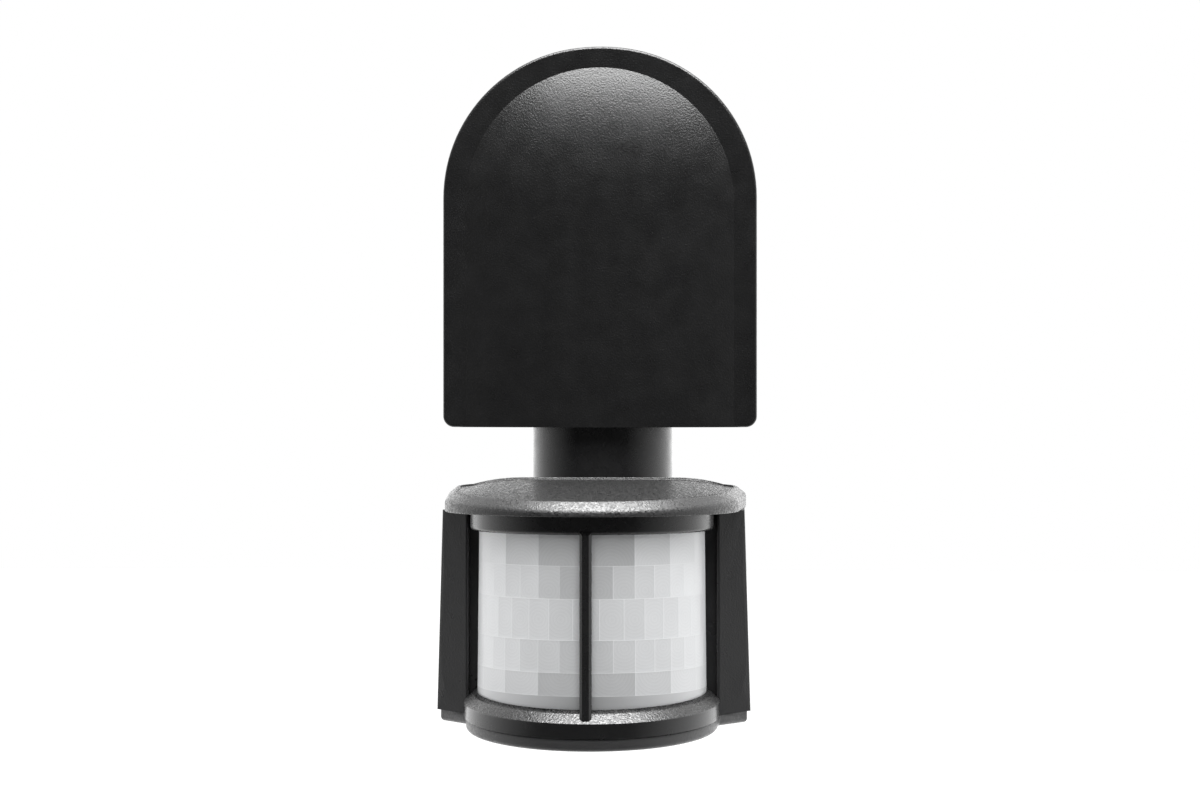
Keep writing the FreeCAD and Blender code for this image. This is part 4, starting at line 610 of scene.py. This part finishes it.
world = bpy.data.worlds.new("studio")
bpy.context.scene.world = world
sky = bare_tree(world)
direction = add_node(sky, "ShaderNodeTexCoord").outputs["Generated"]
inputs = {0: direction, 1: TO_DIM_SIDE}
towards = add_node(sky, "ShaderNodeVectorMath", inputs, operation="DOT_PRODUCT")
inputs = {"Value": towards.outputs["Value"], "From Min": -1.0, "From Max": DIM_FROM}
inputs |= {"To Min": BRIGHT_SIDE, "To Max": DIM_SIDE}
strength = add_node(sky, "ShaderNodeMapRange", inputs).outputs[0]
around = add_node(sky, "ShaderNodeBackground", {"Color": WHITE, "Strength": strength})
plain = add_node(sky, "ShaderNodeBackground", {"Color": WHITE, "Strength": 1.0})
seen = add_node(sky, "ShaderNodeLightPath").outputs["Is Camera Ray"]
inputs = {0: seen, 1: around.outputs[0], 2: plain.outputs[0]}
chosen = add_node(sky, "ShaderNodeMixShader", inputs)
add_node(sky, "ShaderNodeOutputWorld", {"Surface": chosen.outputs[0]})


def lamp(name, place, aim, width, height, power):
    """A soft rectangular lamp at a place, turned towards another."""
    data = bpy.data.lights.new(name, "AREA")
    data.shape = "RECTANGLE"
    data.size, data.size_y = width, height
    data.energy = power
    made = bpy.data.objects.new(name, data)
    made.location = place
    made.rotation_euler = (Vector(aim) - Vector(place)).to_track_quat("-Z", "Y").to_euler()
    bpy.context.scene.collection.objects.link(made)
    return made


shine = lamp("lamp_above", (0.25, -0.81, 1.8), (0.25, -0.61, 1.13), 2.2, 1.5, 195.0)
shine.visible_diffuse = False
fill = lamp("lamp_in_front", (0.12, -1.6, 1.35), (0, -0.08, -0.06), 1.4, 1.2, 39.0)
fill.visible_glossy = False

# Floor: far below the hanging detector, white to the camera but for the object's shadow
FLOOR_Z, FLOOR_REACH = -0.6, 8
FLOOR_GREY, FLOOR_GLOW = 0.6, 0.6
floor_mesh = bpy.data.meshes.new("floor")
corners = [(-1, -1), (1, -1), (1, 1), (-1, 1)]
floor_corners = [(x * FLOOR_REACH, y * FLOOR_REACH, 0) for x, y in corners]
floor_mesh.from_pydata(floor_corners, [], [(0, 1, 2, 3)])
floor = bpy.data.objects.new("floor", floor_mesh)
floor.location = (0, 0, FLOOR_Z)
bpy.context.scene.collection.objects.link(floor)
pale = bpy.data.materials.new("pale_floor")
ground = bare_tree(pale)
grey = {"Color": (FLOOR_GREY, FLOOR_GREY, FLOOR_GREY, 1)}
matt = add_node(ground, "ShaderNodeBsdfDiffuse", grey).outputs[0]
glow = add_node(ground, "ShaderNodeEmission", {"Color": WHITE, "Strength": FLOOR_GLOW})
both = add_node(ground, "ShaderNodeAddShader", {0: matt, 1: glow.outputs[0]}).outputs[0]
path = add_node(ground, "ShaderNodeLightPath").outputs
seen = add_node(ground, "ShaderNodeMixShader", {0: path["Is Camera Ray"], 1: matt, 2: both})
clear = add_node(ground, "ShaderNodeBsdfTransparent")
inputs = {0: path["Is Glossy Ray"], 1: seen.outputs[0], 2: clear.outputs[0]}
surface = add_node(ground, "ShaderNodeMixShader", inputs)
add_node(ground, "ShaderNodeOutputMaterial", {"Surface": surface.outputs[0]})
floor_mesh.materials.append(pale)

bpy.context.scene.view_settings.view_transform = "Standard"
